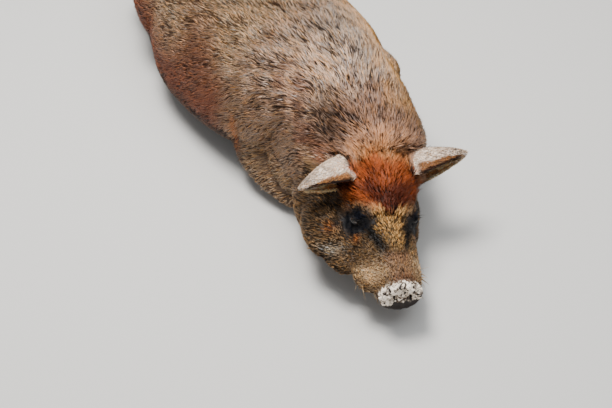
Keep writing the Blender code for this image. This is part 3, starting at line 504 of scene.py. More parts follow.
# Ear rows from root to tip: share of the length, depth, half height, thickness
EAR_ROWS = [
    (0.00, 0.068, 0.0200, 0.0060),
    (0.20, 0.070, 0.0200, 0.0056),
    (0.40, 0.063, 0.0190, 0.0050),
    (0.60, 0.050, 0.0170, 0.0044),
    (0.80, 0.032, 0.0130, 0.0038),
    (0.93, 0.017, 0.0085, 0.0032),
    (1.00, 0.007, 0.0040, 0.0024),
]
EAR_SIDES = (("left", 1), ("right", -1))
EAR_REACH = 0.19  # no point of an ear lies further from its root
EAR_CURL = math.radians(100)
EAR_ARCH = 0.010
EAR_COAT = 0.0004  # depth of the down on each face of the leaf
EAR_ACROSS = 26
RIM_WAVE = 0.0016


def ear_frame(side):
    """Root, tip, the way along the leaf, the way across it and the way that its hollow faces."""
    root, tip, hollow, _ = (Vector(value) if isinstance(value, tuple) else value for value in EARS[side])
    ahead = (tip - root).normalized()
    face = (hollow - ahead * hollow.dot(ahead)).normalized()
    across = ahead.cross(face)
    return root, tip, ahead, across if across.z > 0 else -across, face


def tree_of(points):
    """A search tree over points."""
    tree = KDTree(len(points))
    for index, point in enumerate(points):
        tree.insert(point, index)
    tree.balance()
    return tree


leaf_trees = {}
ears = []
for side, (*_, gape) in EARS.items():
    root, tip, ahead, across, face = ear_frame(side)
    rings = []
    for u, depth, half_height, thickness in eased(EAR_ROWS, 6):
        middle = root.lerp(tip, u) + across * (EAR_ARCH * 4 * u * (1 - u))
        reach = depth / (1 - math.cos(EAR_CURL))
        bed = middle + face * (reach - depth / 2)
        outside, inside = [], []
        for share in np.linspace(-1, 1, EAR_ACROSS + 1):
            turn = EAR_CURL * share
            wave = RIM_WAVE * math.sin(u * 17 + 2 * share) * abs(share) ** 3 * (1 - u)
            half_wall = (thickness / 2 - EAR_COAT) * (1 - 0.7 * abs(share) ** 5)
            for row, wall in ((outside, half_wall), (inside, -half_wall)):
                rise = across * (math.sin(turn) * (half_height * gape + wall + wave))
                row.append(head_place @ (bed + rise - face * (math.cos(turn) * (reach + wall))))
        rings.append(outside + inside[::-1])
    bm = bmesh.new()
    add_rings(bm, rings)
    bmesh.ops.triangulate(bm, faces=bm.faces)
    ear = new_object(bm, "ear_" + side)
    leaf_trees[side] = tree_of(points_of(ear))
    ears.append(ear)
    grow = skin.modifiers.new("grow", "BOOLEAN")
    grow.operation = "UNION"
    grow.solver = "MANIFOLD"
    grow.object = ear
apply_all(skin)
for ear in ears:
    bpy.data.objects.remove(ear)


def near_ears(points, most):
    """Which points lie this near an ear's leaf, and on which side: 1 for left, -1 for right."""
    near, which = np.zeros(len(points), bool), np.zeros(len(points))
    for side, sign in EAR_SIDES:
        root = np.array(EARS[side][0])
        close = np.flatnonzero(np.linalg.norm(in_head(points) - root, axis=1) < EAR_REACH)
        found = [index for index in close if leaf_trees[side].find(points[index])[2] < most]
        near[found] = True
        which[found] = sign
    return near, which


# The joint of leaf and head is eased into a soft hollow
places = points_of(skin)
from_root = [np.linalg.norm(in_head(places) - np.array(EARS[side][0]), axis=1) for side in EARS]
join = smooth(0.062, 0.040, np.minimum(*from_root)) * smooth(0.012, 0.030, np.minimum(*from_root))
weigh(skin, "join", join)
smooth_by(skin, "join", 5)
apply_all(skin)


# The face: folds over the snout, the gristle disc with its nostrils, the lips and the lids are worked
# into the same skin, on a mesh split finer there.
DISC_CENTRE_Z = 0.002
DISC_HALF = (0.050, 0.038)
RIM_HANG = (0.004, 0, -0.008)  # how far the disc's lower rim hangs, in the head frame
NOSTRIL = (0.0175, 0.004)
NOSTRIL_HALF = (0.0062, 0.0092)
MOUTH_LINE = [(0.135, -0.052), (0.165, -0.043), (0.200, -0.036), (0.235, -0.036), (0.262, -0.040)]
EYE_RADIUS = 0.0125
EYE_LOOK = Vector((0.42, 0.86, 0.28)).normalized()
LID_OVER = 1.13  # outside of the lids, in eye radii
EYE_HALF_WIDTH = 0.0118
EYE_HALF_HEIGHT = (0.0036, 0.0042)  # lower lid, upper lid


def split_faces(obj, pick):
    """Splits each face in four where the test picks its middle."""
    bm = bmesh.new()
    bm.from_mesh(obj.data)
    chosen = pick(np.array([face.calc_center_median() for face in bm.faces]))
    edges = {edge for face, take in zip(bm.faces, chosen) if take for edge in face.edges}
    bmesh.ops.subdivide_edges(bm, edges=list(edges), cuts=1, use_grid_fill=True)
    bm.to_mesh(obj.data)
    bm.free()


def ripple(points, length, seed, waves=7):
    """Smooth waves of about this length in all directions, from -1 to 1."""
    draw = np.random.default_rng(seed)
    ways = draw.normal(size=(waves, 3))
    ways *= (2 * math.pi / length * draw.uniform(0.7, 1.4, waves) / np.linalg.norm(ways, axis=1))[:, None]
    phases = draw.uniform(0, 2 * math.pi, waves)
    return np.clip(np.sin(points @ ways.T + phases).sum(axis=1) / math.sqrt(waves), -1, 1)


def eye_seen(points, side):
    """Points in an eye's own frame: along the lids, up across them and out of the eye, with its axes."""
    low, high = (np.array(corner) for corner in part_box("eye_" + side))
    sign = 1 if side == "left" else -1
    look = head_place.to_3x3() @ Vector((EYE_LOOK.x, sign * EYE_LOOK.y, EYE_LOOK.z))
    up = head_place.to_3x3() @ Vector((0, 0, 1))
    up = (up - look * up.dot(look)).normalized()
    axes = np.array([up.cross(look), up, look])
    return (points - ((low + high) / 2 - CENTRE_SHIFT)) @ axes.T, axes, (low + high) / 2


def almond(seen):
    """1 on the edge of the opening between the lids, less inside it."""
    half = np.where(seen[:, 1] > 0, EYE_HALF_HEIGHT[1], EYE_HALF_HEIGHT[0])
    return np.sqrt((seen[:, 0] / EYE_HALF_WIDTH) ** 2 + (seen[:, 1] / half) ** 2)


def from_eyes(points):
    """Distance to the middle of the nearer eye."""
    return np.minimum(*(np.linalg.norm(eye_seen(points, side)[0], axis=1) for side in ("left", "right")))


def on_disc(seen):
    """Share of the way from the middle of the snout's disc to its rim."""
    return np.hypot(seen[:, 1] / DISC_HALF[0], (seen[:, 2] - DISC_CENTRE_Z) / DISC_HALF[1])


def off_nostril(seen):
    """Distance from the middle of the nearer nostril, in its own half sizes."""
    return np.hypot(
        (np.abs(seen[:, 1]) - NOSTRIL[0]) / NOSTRIL_HALF[0], (seen[:, 2] - NOSTRIL[1]) / NOSTRIL_HALF[1]
    )


split_faces(skin, lambda middles: (in_head(middles)[:, 0] > 0.045) & ~near_ears(middles, 0.006)[0])
split_faces(skin, lambda middles: (from_eyes(middles) < 0.024) | (in_head(middles)[:, 0] > 0.287))
places = points_of(skin)
weigh(skin, "face", smooth(0.04, 0.06, in_head(places)[:, 0]))
smooth_by(skin, "face", 3)
apply_all(skin)

bm = bmesh.new()
bm.from_mesh(skin.data)
skin_tree = BVHTree.FromBMesh(bm)
bm.free()
lips = []
for sign, order in ((1, MOUTH_LINE), (-1, MOUTH_LINE[::-1])):
    for x, z in order:
        start, way = head_place @ Vector((x, sign * 0.3, z)), head_place.to_3x3() @ Vector((0, -sign, 0))
        lips.append(tuple(in_head(np.array([skin_tree.ray_cast(start, way)[0]]))[0]))
lip_tree = tree_of(eased(lips, 40))


def near_mouth(point):
    """Whether a point of the head is near enough to the lips to be measured from them."""
    return point[0] > 0.12 and point[2] < -0.015


places, ways = points_of(skin), normals_of(skin)
seen, facing = in_head(places), normals_of(skin) @ HEAD_TURN
on_snout = smooth(0.13, 0.17, seen[:, 0]) * smooth(0.292, 0.272, seen[:, 0])
on_snout *= smooth(-0.038, -0.018, seen[:, 2])
fold = seen[:, 0] * (2 * math.pi / 0.0165) - 26 * seen[:, 1] ** 2 / 0.05 + 1.1 * ripple(seen, 0.05, 3)
crease = (1 - np.abs(np.sin(fold / 2))) ** 4
out = -0.0016 * crease * on_snout * (0.6 + 0.4 * ripple(seen, 0.04, 4))
out += 0.0006 * ripple(seen, 0.018, 5) * smooth(0.06, 0.12, seen[:, 0])
out -= 0.0020 * hump(seen[:, 0], 0.2865, 0.0045) * smooth(-0.034, -0.02, seen[:, 2])
from_lips = np.array([lip_tree.find(point)[2] if near_mouth(point) else 1.0 for point in seen])
out += 0.0014 * hump(from_lips, 0.0058, 0.003) - 0.0052 * np.exp(-(from_lips / 0.0021) ** 2)
places = places + ways * out[:, None]
hang = smooth(0.268, 0.290, seen[:, 0]) * smooth(0.004, -0.030, seen[:, 2])
places = places + head_way(*RIM_HANG) * hang[:, None]

seen = in_head(places)
to_rim = on_disc(seen)
front = smooth(0.5, 0.8, facing[:, 0]) * smooth(0.292, 0.300, seen[:, 0])
push = 0.0016 * hump(to_rim, 0.93, 0.10) - 0.0020 * (1 - to_rim ** 2).clip(0)
from_nostril = off_nostril(seen)
push += 0.0010 * hump(from_nostril, 1.5, 0.35) - 0.0150 * smooth(1.12, 0.55, from_nostril)
crust = smooth(-0.012, 0.010, seen[:, 2]) * smooth(0.284, 0.294, seen[:, 0]) * smooth(0.9, 1.5, from_nostril)
crust *= smooth(-0.5, 0.1, ripple(seen, 0.022, 8))
push += 0.0012 * crust * (1 + ripple(seen, 0.006, 9))
places = places + head_way(1, 0, 0) * (push * front)[:, None]

for side in ("left", "right"):
    seen, axes, _ = eye_seen(places, side)
    across, up, high = seen.T
    spread = np.hypot(across, up)
    opening = almond(seen)
    near = (spread < 0.030) & (high > -0.004)
    lid = np.sqrt(np.clip((EYE_RADIUS * LID_OVER) ** 2 - spread ** 2, 0, None))
    lid += 0.0012 * hump(opening, 1.45, 0.30) - 0.0014 * hump(opening, 2.15, 0.22)
    share = smooth(0.0150, 0.0095, spread)
    raised = np.where(lid > high, high + (lid - high) * share, high)
    raised -= 0.0009 * hump(opening, 3.0, 0.25) * (up > 0)
    ball = np.sqrt(np.clip(EYE_RADIUS ** 2 - spread ** 2, 0, None)) - 0.0032
    raised = np.where(opening < 1.0, ball, raised)
    shift = np.where(near, raised - high, 0.0)
    places = places + shift[:, None] * axes[2]
places[:, 2] = places[:, 2].clip(0)
move_points(skin, places)
triangulate = skin.modifiers.new("triangulate", "TRIANGULATE")
apply_all(skin)


# The markings: red-brown flanks under a grizzled grey-tan back, a dark red crown that runs to a point
# between the eyes, near-black patches round them, pale ears and a pale muzzle. Painted shade and light
# are laid in with them: shade in the neck furrow, in the ears' hollows and partly on the underside, a gold
# glow on the far side and light on the forelegs. Skin and coat share them.
def linear(*colour):
    """A colour of the picture's kind, 0 to 255, as light."""
    return ((np.array(colour) / 255 + 0.055) / 1.055) ** 2.4


SHADES = {
    # name: dark and light bristles; some are painted shade or painted light, as marked
    "flank": (linear(54, 29, 16), linear(176, 106, 76)),
    # the loin's pale shade is also painted light on the forelegs
    "loin_and_foreleg_light": (linear(84, 54, 34), linear(255, 214, 170)),
    "back": (linear(60, 42, 34), linear(255, 216, 184)),
    "ridge": (linear(34, 30, 31), linear(198, 174, 154)),
    # the underside: partly the coat's darker red-brown, partly painted shade where the body turns down to the
    # floor
    "belly": (linear(19, 7, 3), linear(54, 33, 20)),
    "shoulder": (linear(42, 25, 16), linear(204, 164, 132)),
    "neck": (linear(36, 22, 17), linear(160, 124, 102)),
    "nape": (linear(42, 19, 8), linear(196, 134, 84)),
    "crown": (linear(24, 4, 0), linear(82, 30, 6)),
    "poll": (linear(40, 12, 2), linear(162, 78, 32)),
    "blaze": (linear(22, 12, 5), linear(226, 174, 108)),
    "cheek": (linear(15, 9, 5), linear(158, 123, 86)),
    "rust": (linear(90, 44, 14), linear(220, 130, 60)),
    "muzzle": (linear(124, 82, 50), linear(255, 216, 164)),
    "snout_top": (linear(20, 10, 7), linear(158, 108, 78)),
    "stripe": (linear(1, 0, 0), linear(34, 28, 23)),
    "eye_patch": (linear(2, 2, 7), linear(13, 18, 31)),
    "ear": (linear(255, 222, 194), linear(255, 232, 210)),
    "ear_edge": (linear(120, 66, 30), linear(220, 160, 104)),
    "ear_low": (linear(214, 172, 120), linear(255, 232, 184)),
    # painted shade: the inside of the ears' cups is coloured near-black
    "ear_hollow_shade": (linear(20, 10, 7), linear(70, 44, 32)),
    "foot": (linear(44, 28, 20), linear(130, 96, 70)),
    # painted shade: the crease between neck and right shoulder is coloured dark
    "furrow_shade": (linear(22, 13, 9), linear(96, 70, 52)),
    # painted light: a warm glow where light shines through the bristles of the far side
    "far_side_glow": (linear(58, 40, 20), linear(206, 152, 86)),
    "frosted": (linear(84, 72, 58), linear(235, 218, 196)),
}
# The dark patch round an eye, in the head frame: its middle, its two axes along the skin and its reach
EYE_PATCH = np.array((0.124, 0.073, 0.030))
PATCH_AXES = np.array(((0.477, -0.774, 0.413), (0.758, 0.018, -0.652)))
PATCH_REACH = (0.040, 0.030)
RED_TIP = 0.140  # where the red of the crown runs out to a point, in the head frame
EAR_DOWN = 0.0050  # a point this near an ear's leaf takes its colours
# the nostrils' colour is painted shade, darker than the disc
DISC_COLOUR, NOSTRIL_SHADE = linear(34, 25, 22), linear(16, 9, 8)


def ear_share(points, which):
    """For points on an ear: share of the way from its root to its tip, and the way its hollow faces."""
    along, face = np.zeros(len(points)), np.zeros((len(points), 3))
    for side, sign in EAR_SIDES:
        root, tip, ahead, _, hollow = ear_frame(side)
        pick = which == sign
        along[pick] = (in_head(points[pick]) - np.array(root)) @ np.array(ahead) / (tip - root).length
        face[pick] = head_way(*hollow)
    return along, face


def rim_share(points, which):
    """How far round its leaf a point of an ear is: 0 on the back, 1 on the upper rim, -1 on the lower."""
    share = np.zeros(len(points))
    for side, sign in EAR_SIDES:
        root, _, ahead, across, face = (np.array(value) for value in ear_frame(side))
        pick = which == sign
        local = in_head(points[pick]) - root
        local = local - (local @ ahead)[:, None] * ahead
        turn = np.arctan2(np.abs(local @ across), -(local @ face) + 0.012)
        share[pick] = turn / EAR_CURL * np.sign(local @ across)
    return share


def markings(points, ways):
    """Dark and light shade of the coat for points on the straight skin, with the ways it faces there."""
    x, y, z = points.T
    seen = in_head(points)
    near, which = near_ears(points, EAR_DOWN)
    along, hollow = ear_share(points, which)
    tilt = np.degrees(np.arctan2(ways[:, 1], ways[:, 2]))
    down = np.degrees(np.arctan2(np.abs(y), z - 0.17))
    patch = ripple(points, 0.22, 21)
    spot = ripple(points, 0.05, 22)
    across, over = np.abs(seen[:, 1]), seen[:, 2]
    masks = [
        ("loin_and_foreleg_light", smooth(92, 40, down + 12 * patch) * smooth(0.20, 0.02, x + 0.03 * spot)),
        ("back", smooth(76, 34, down + 12 * patch + 8 * spot) * smooth(-0.06, 0.14, x + 0.03 * patch)),
        ("ridge", hump(np.degrees(np.arctan2(y, z - 0.17)) + 6 * spot, 8, 16) * smooth(0.02, 0.16, x)),
        ("shoulder", smooth(0.02, 0.10, x) * smooth(50, 72, down + 10 * spot)),
        ("neck", smooth(0.26, 0.36, x + 0.02 * spot) * smooth(66, 40, down + 6 * spot)),
        # Partly painted shade: the coat turned down towards the floor is darkened
        ("belly", smooth(96, 116, down + 6 * spot)),
        ("foot", smooth(0.12, 0.07, z) * smooth(0.06, 0.10, np.abs(y)) * smooth(0.33, 0.27, x)),
        ("cheek", smooth(-0.055, -0.005, seen[:, 0] + 0.012 * spot) * smooth(0.085, 0.05, over)),
        ("cheek", smooth(0.02, 0.05, seen[:, 0])),
        ("nape", smooth(-0.060, 0.020, seen[:, 0] + 0.014 * spot) * smooth(0.085, 0.055, across)
            * smooth(0.02, 0.07, over) * smooth(0.10, 0.05, seen[:, 0])),
        ("poll", smooth(0.000, 0.045, seen[:, 0] + 0.012 * spot) * smooth(0.100, 0.070, across)
            * smooth(0.01, 0.05, over) * smooth(0.152, 0.118, seen[:, 0] + 0.6 * across)),
    ]
    width = 0.95 * (RED_TIP - seen[:, 0]).clip(0.002)
    red = smooth(1.15, 0.80, across / np.minimum(width, 0.084) + 0.12 * spot)
    red *= smooth(0.036, 0.096, seen[:, 0] + 0.014 * spot) * smooth(0.0, 0.04, over)
    red *= smooth(RED_TIP - 0.002, RED_TIP - 0.014, seen[:, 0])
    blaze = smooth(0.108, 0.138, seen[:, 0]) * smooth(0.225, 0.195, seen[:, 0]) * smooth(0.0, 0.02, over)
    masks += [
        ("blaze", blaze * smooth(0.046, 0.026, across + 0.005 * spot)),
        ("stripe", smooth(0.125, 0.145, seen[:, 0]) * smooth(0.256, 0.225, seen[:, 0]) * (over > 0)
            * hump(across, 0.047 - 0.34 * (seen[:, 0] - 0.145).clip(0), 0.014 + 0.004 * spot)),
        ("crown", red),
        ("snout_top", smooth(0.205, 0.228, seen[:, 0]) * smooth(0.020, 0.034, over)
            * smooth(0.042, 0.02, across)),
        ("muzzle", hump(seen[:, 0], 0.246, 0.030) * hump(over, 0.008, 0.026)),
        # Painted shade in the crease that parts neck and right shoulder
        ("furrow_shade", hump(points @ FURROW_WAY, FURROW_WAY @ FURROW_MIDDLE, 0.028)
            * hump(np.linalg.norm(points - FURROW_MIDDLE, axis=1), 0, 0.080) * (y < 0) * 0.9),
        # Painted light: the far upper side, picked by the way it faces, glows gold
        ("far_side_glow", (0.45 * smooth(14, 40, tilt + 8 * spot) + 0.55 * smooth(44, 60, tilt + 8 * spot))
            * smooth(-0.16, -0.04, x) * smooth(0.42, 0.36, x) * smooth(88, 68, tilt + 8 * spot)),
        # Painted light: the pale loin shade lightens the shaded forelegs below the shoulders
        ("loin_and_foreleg_light", smooth(0.17, 0.12, z) * smooth(0.12, 0.18, x) * smooth(0.37, 0.31, x)
            * smooth(0.10, 0.14, np.abs(y)) * 0.6),
        ("rust", hump(x + 0.12 * (z - 0.14), 0.107, 0.009) * smooth(0.08, 0.10, z) * smooth(0.21, 0.17, z)
            * smooth(0.15, 0.17, np.abs(y)) * 0.8),
        ("rust", hump(seen[:, 0], 0.078, 0.018) * hump(over, 0.045, 0.020)
            * smooth(0.06, 0.08, across) * 0.25),
        ("rust", hump(seen[:, 0], 0.155, 0.009) * hump(across, 0.070, 0.012)
            * hump(over, 0.012, 0.009) * 0.9),
        ("rust", hump(seen[:, 0], 0.121, 0.010) * hump(across, 0.122, 0.012) * (over > -0.03) * 0.6),
        ("frosted", hump(seen[:, 0], 0.160, 0.013) * hump(over, -0.021, 0.010)
            * smooth(0.08, 0.10, across)),
    ]
    from_patch = np.stack([seen[:, 0], across, over], axis=1) - EYE_PATCH
    stretch = np.hypot(*(from_patch @ axis / reach for axis, reach in zip(PATCH_AXES, PATCH_REACH)))
    ragged = 0.12 * spot + 0.10 * ripple(points, 0.012, 24)
    masks.append(("eye_patch", smooth(1.25, 0.80, stretch + ragged)))
    inside = near * (np.sum(ways * hollow, axis=1) > 0.1) * smooth(0.10, 0.20, along)
    round_leaf = rim_share(points, which)
    rim = near * (np.abs(round_leaf) > 0.88 - 0.03 * spot)
    masks += [
        ("ear", near * smooth(0.05, 0.12, along + 0.02 * spot)),
        ("ear_edge", rim * smooth(0.10, 0.20, along) * smooth(0.98, 0.86, along)),
        # Painted shade inside the cup of each ear
        ("ear_hollow_shade", inside * smooth(0.96, 0.80, along)),
        ("ear_low", inside * smooth(-0.50, -0.72, round_leaf) * smooth(0.20, 0.40, along)),
    ]
    dark, light = (np.tile(shade, (len(points), 1)) for shade in SHADES["flank"])
    for name, mask in masks:
        dark += (SHADES[name][0] - dark) * mask[:, None]
        light += (SHADES[name][1] - light) * mask[:, None]
    return dark, light


def add_colour(mesh, colours):
    """The colour of each point, as the attribute that the skin's and the coat's materials read."""
    layer = mesh.color_attributes.new("markings", "FLOAT_COLOR", "POINT")
    opaque = np.hstack([colours, np.ones((len(colours), 1))])
    layer.data.foreach_set("color", opaque.astype(np.float32).ravel())


def add_value(mesh, name, values):
    """One number for each point, as an attribute."""
    layer = mesh.attributes.new(name, "FLOAT", "POINT")
    layer.data.foreach_set("value", np.asarray(values, np.float32))


class Link:
    """A shader socket that takes part in Python sums. Each operator adds its Math node."""

    def __init__(self, tree, socket):
        self.tree, self.socket = tree, socket

    def node(self, kind, settings=None, out=0, **values):
        """A new node: its settings first, then its sockets by name, or by number as s0, s1."""
        made = self.tree.nodes.new(kind)
        for key, value in (settings or {}).items():
            setattr(made, key, value)
        for key, value in values.items():
            socket = made.inputs[int(key[1:])] if key[1:].isdigit() else made.inputs[key.replace("_", " ")]
            if isinstance(value, Link):
                self.tree.links.new(value.socket, socket)
            else:
                socket.default_value = value
        return Link(self.tree, made.outputs[out])

    def maths(self, operation, first, second):
        return self.node("ShaderNodeMath", {"operation": operation}, s0=first, s1=second)

    def mix(self, share, first, second, blend="MIX"):
        """Two colours mixed."""
        settings = {"data_type": "RGBA", "blend_type": blend}
        return self.node("ShaderNodeMix", settings, out=2, s0=share, s6=first, s7=second)

    def between(self, low, high):
        """0 below low and 1 above high."""
        return self.node("ShaderNodeMapRange", {"clamp": True}, Value=self, From_Min=low, From_Max=high)

    def __add__(self, other):
        return self.maths("ADD", self, other)

    def __sub__(self, other):
        return self.maths("SUBTRACT", self, other)

    def __rsub__(self, other):
        return self.maths("SUBTRACT", other, self)

    def __mul__(self, other):
        return self.maths("MULTIPLY", self, other)

    __radd__, __rmul__ = __add__, __mul__


def new_finish(name, **constants):
    """A material with its shader's constants set: the shader, and a link to build its nodes from."""
    made = bpy.data.materials.new(name)
    made.use_nodes = True
    shader = made.node_tree.nodes["Principled BSDF"]
    for key, value in constants.items():
        shader.inputs[key.replace("_", " ")].default_value = value
    return made, shader, Link(made.node_tree, None)


def join_to(socket, link):
    link.tree.links.new(link.socket, socket)


hide, shader, start = new_finish("pig_hide", Specular_IOR_Level=0.3)
spot = start.node("ShaderNodeTexCoord", out=3)
coarse = start.node("ShaderNodeTexNoise", Vector=spot, Scale=90.0, Detail=6.0, Roughness=0.65)
pores = start.node("ShaderNodeTexVoronoi", Vector=spot, Scale=420.0)
tone = start.node("ShaderNodeAttribute", {"attribute_name": "markings"})
crusted = start.node("ShaderNodeAttribute", {"attribute_name": "crust"}, out=2)
grain = coarse.between(0.25, 0.75)
shaded = start.mix(0.75 + 0.25 * grain, (0.02, 0.012, 0.008, 1), tone)
pale = start.mix(coarse.between(0.40, 0.50), (0.08, 0.055, 0.04, 1), (0.85, 0.71, 0.56, 1))
join_to(shader.inputs["Base Color"], start.mix(crusted, shaded, pale))
join_to(shader.inputs["Roughness"], 0.5 + 0.25 * grain + 0.2 * crusted)
relief = coarse * 0.7 + pores * 0.3
join_to(shader.inputs["Normal"], start.node("ShaderNodeBump", Height=relief, Strength=0.45, Distance=0.0012))

places, ways = points_of(skin), normals_of(skin)
seen = in_head(places)
dark, light = markings(places, ways)
# The hide is darker than its bristles, but flesh shows through on the muzzle and the ears
pale_ear = near_ears(places, EAR_DOWN)[0] * smooth(0.4, 0.6, np.min(light, axis=1))
fleshy = 0.22 * smooth(0.16, 0.22, seen[:, 0])[:, None]
under = (0.62 - fleshy) * dark + (0.10 + fleshy) * light
under += (0.95 * light - under) * pale_ear[:, None]
bare = smooth(0.286, 0.297, seen[:, 0])[:, None]
under += (DISC_COLOUR - under) * bare
# Painted shade: the nostrils are darkened inside
nostril_shade = smooth(1.05, 0.7, off_nostril(seen)) * smooth(0.28, 0.29, seen[:, 0])
under += (NOSTRIL_SHADE - under) * nostril_shade[:, None]
# Painted shade: the hide darkens along the line of the lips
from_lips = np.array([lip_tree.find(point)[2] if near_mouth(point) else 1.0 for point in seen])
under *= (1 - 0.75 * smooth(0.006, 0.001, from_lips))[:, None]
add_colour(skin.data, under)
crust = smooth(-0.018, -0.006, seen[:, 2] - 0.22 * seen[:, 1] + 0.005 * ripple(seen, 0.02, 8))
crust *= (1 - nostril_shade) * smooth(-0.45, -0.05, ripple(seen, 0.010, 10)) * smooth(0.280, 0.292, seen[:, 0])
add_value(skin.data, "crust", crust)
skin.data.materials.clear()
skin.data.materials.append(hide)
skin.data.shade_smooth()


# The crust dried on the snout: broken plates and crumbs, pressed on the upper part of the disc, its rim
# and the first fold behind it.
CRUMBS = 460
CRUMB_SIZES = (0.0011, 0.0056)
draw = np.random.default_rng(7)
# The skin's triangles: corners, middles, ways out and areas (doubled), for all that is set on them
skin.data.calc_loop_triangles()
corners = np.empty(len(skin.data.loop_triangles) * 3, np.int32)
skin.data.loop_triangles.foreach_get("vertices", corners)
corners = corners.reshape(-1, 3)
middles = places[corners].mean(axis=1)
seen_middles = in_head(middles)
spans = np.cross(places[corners[:, 1]] - places[corners[:, 0]], places[corners[:, 2]] - places[corners[:, 0]])
areas = np.linalg.norm(spans, axis=1)
caked = crust[corners].mean(axis=1) * smooth(0.282, 0.296, seen_middles[:, 0]) * areas
bm = bmesh.new()
paleness = []
for index in draw.choice(len(middles), CRUMBS, p=caked / caked.sum()):
    size = CRUMB_SIZES[0] + (CRUMB_SIZES[1] - CRUMB_SIZES[0]) * draw.random() ** 3
    made = bmesh.ops.create_icosphere(bm, subdivisions=2 if size > 0.002 else 1, radius=1)["verts"]
    out = spans[index] / areas[index]
    shape = np.array([vertex.co for vertex in made]) * draw.uniform(0.55, 1.35, 3)
    shape *= (1 + 0.38 * ripple(shape, 1.3, int(index) % 97))[:, None] * size
    shape -= out * np.sum(shape * out, axis=1)[:, None] * (0.30 + 0.3 * (size > 0.003))
    paleness += [draw.random() ** 0.5] * len(made)
    for vertex, place in zip(made, bent(middles[index] + shape)):
        vertex.co = place
crumbs = new_object(bm, "snout_crust")
add_value(crumbs.data, "paleness", paleness)
clay, shader, start = new_finish("dried_crust", Specular_IOR_Level=0.3)
spot = start.node("ShaderNodeTexCoord", out=3)
pale_here = start.node("ShaderNodeAttribute", {"attribute_name": "paleness"}, out=2)
lumps = start.node("ShaderNodeTexNoise", Vector=spot, Scale=190.0, Detail=5.0, Roughness=0.7)
powder = start.node("ShaderNodeTexNoise", Vector=spot, Scale=1300.0, Detail=2.0)
join_to(shader.inputs["Base Color"], start.mix(
    (lumps * 0.6 + pale_here * 0.4).between(0.42, 0.60), (0.09, 0.06, 0.042, 1), (1.0, 0.88, 0.74, 1)
))
join_to(shader.inputs["Roughness"], 0.75 + 0.2 * powder)
join_to(shader.inputs["Normal"], start.node("ShaderNodeBump", Height=powder, Strength=0.6, Distance=0.0006))
crumbs.data.materials.append(clay)
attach(crumbs, "root")


# The eyes: wet balls, dark brown, a little sunk between the lids. The cornea bulges, and iris and pupil
# are rings round the way that the ball looks.
ball_finish, shader, start = new_finish(
    "wet_eye", Roughness=0.05, IOR=1.38, Coat_Weight=1.0, Coat_Roughness=0.02
)
facing = start.node("ShaderNodeAttribute", {"attribute_name": "gaze"}, out=2)
spot = start.node("ShaderNodeTexCoord", out=3)
streaks = start.node("ShaderNodeTexNoise", Vector=spot, Scale=900.0, Detail=3.0)
iris = start.mix(streaks.between(0.3, 0.7), (0.012, 0.006, 0.004, 1), (0.040, 0.018, 0.008, 1))
white = start.mix(facing.between(0.80, 0.84), (0.045, 0.030, 0.026, 1), iris)
pupil = facing.between(0.955, 0.965)
join_to(shader.inputs["Base Color"], start.mix(pupil, white, (0.002, 0.002, 0.002, 1)))
for side in ("left", "right"):
    _, axes, centre = eye_seen(np.zeros((1, 3)), side)
    bpy.ops.object.select_all(action="DESELECT")
    bpy.ops.mesh.primitive_uv_sphere_add(segments=48, ring_count=32, radius=1)
    eye = bpy.context.object
    eye.name = "eyeball_" + side
    directions = points_of(eye)
    gaze = directions @ axes[2]
    bulge = EYE_RADIUS * (1 + 0.035 * smooth(0.80, 0.95, gaze))
    move_points(eye, centre + directions * bulge[:, None])
    add_value(eye.data, "gaze", gaze)
    eye.data.shade_smooth()
    eye.data.materials.append(ball_finish)
    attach(eye, "root")
    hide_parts("eye_" + side)


# The claws: two horn toes and two small dew claws on each foot. Each is a tapered horn, flat below where
# it is worn, with growth rings across it.
# Rows from root to point: share of the length, of the half width, and how high the back is
CLAW_ROWS = [
    (-0.25, 0.80, 0.72),
    (0.10, 1.0, 0.80),
    (0.65, 0.90, 0.42),
    (0.92, 0.55, 0.10),
    (1.0, 0.22, -0.12),
]
CLAW_SIZE = (0.046, 0.0105, 0.036)  # length, half width, height
DEW_SIZE = (0.020, 0.0060, 0.013)
CLAW_CORNERS = 28

horn, shader, start = new_finish("hoof_horn", Specular_IOR_Level=0.45)
spot = start.node("ShaderNodeTexCoord", out=3)
growth = start.node(
    "ShaderNodeTexWave", {"bands_direction": "X"}, Vector=spot, Scale=95.0, Distortion=3.0, Detail=3.0
)
speckle = start.node("ShaderNodeTexNoise", Vector=spot, Scale=160.0, Detail=5.0)
join_to(shader.inputs["Base Color"], start.mix(
    speckle.between(0.3, 0.75), (0.030, 0.021, 0.016, 1), (0.110, 0.078, 0.055, 1)
))
join_to(shader.inputs["Roughness"], 0.35 + 0.35 * speckle)
join_to(shader.inputs["Normal"], start.node(
    "ShaderNodeBump", Height=growth * 0.5 + speckle * 0.5, Strength=0.5, Distance=0.0006
))


def add_claw(name, root, ahead, dorsal, size):
    length, half_width, height = size
    side = np.cross(ahead, dorsal)
    turn = np.arange(CLAW_CORNERS) * 2 * math.pi / CLAW_CORNERS
    rings = []
    for reach, width, top in eased(CLAW_ROWS, 6):
        up = np.sin(turn)
        lift = np.where(up > 0, up * height * (top + 0.5) * 0.5, up * height * 0.5).clip(-height * 0.42)
        ring = root + ahead * (length * reach) + side * (np.cos(turn) * half_width * width)[:, None]
        rings.append(bent(ring + dorsal * lift[:, None]))
    bm = bmesh.new()
    add_rings(bm, rings)
    bmesh.ops.triangulate(bm, faces=bm.faces)
    claw = new_object(bm, name + "_horn")
    claw.data.shade_smooth()
    claw.data.materials.append(horn)
    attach(claw, "root")
    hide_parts(name)


def unit(vector):
    return vector / np.linalg.norm(vector)


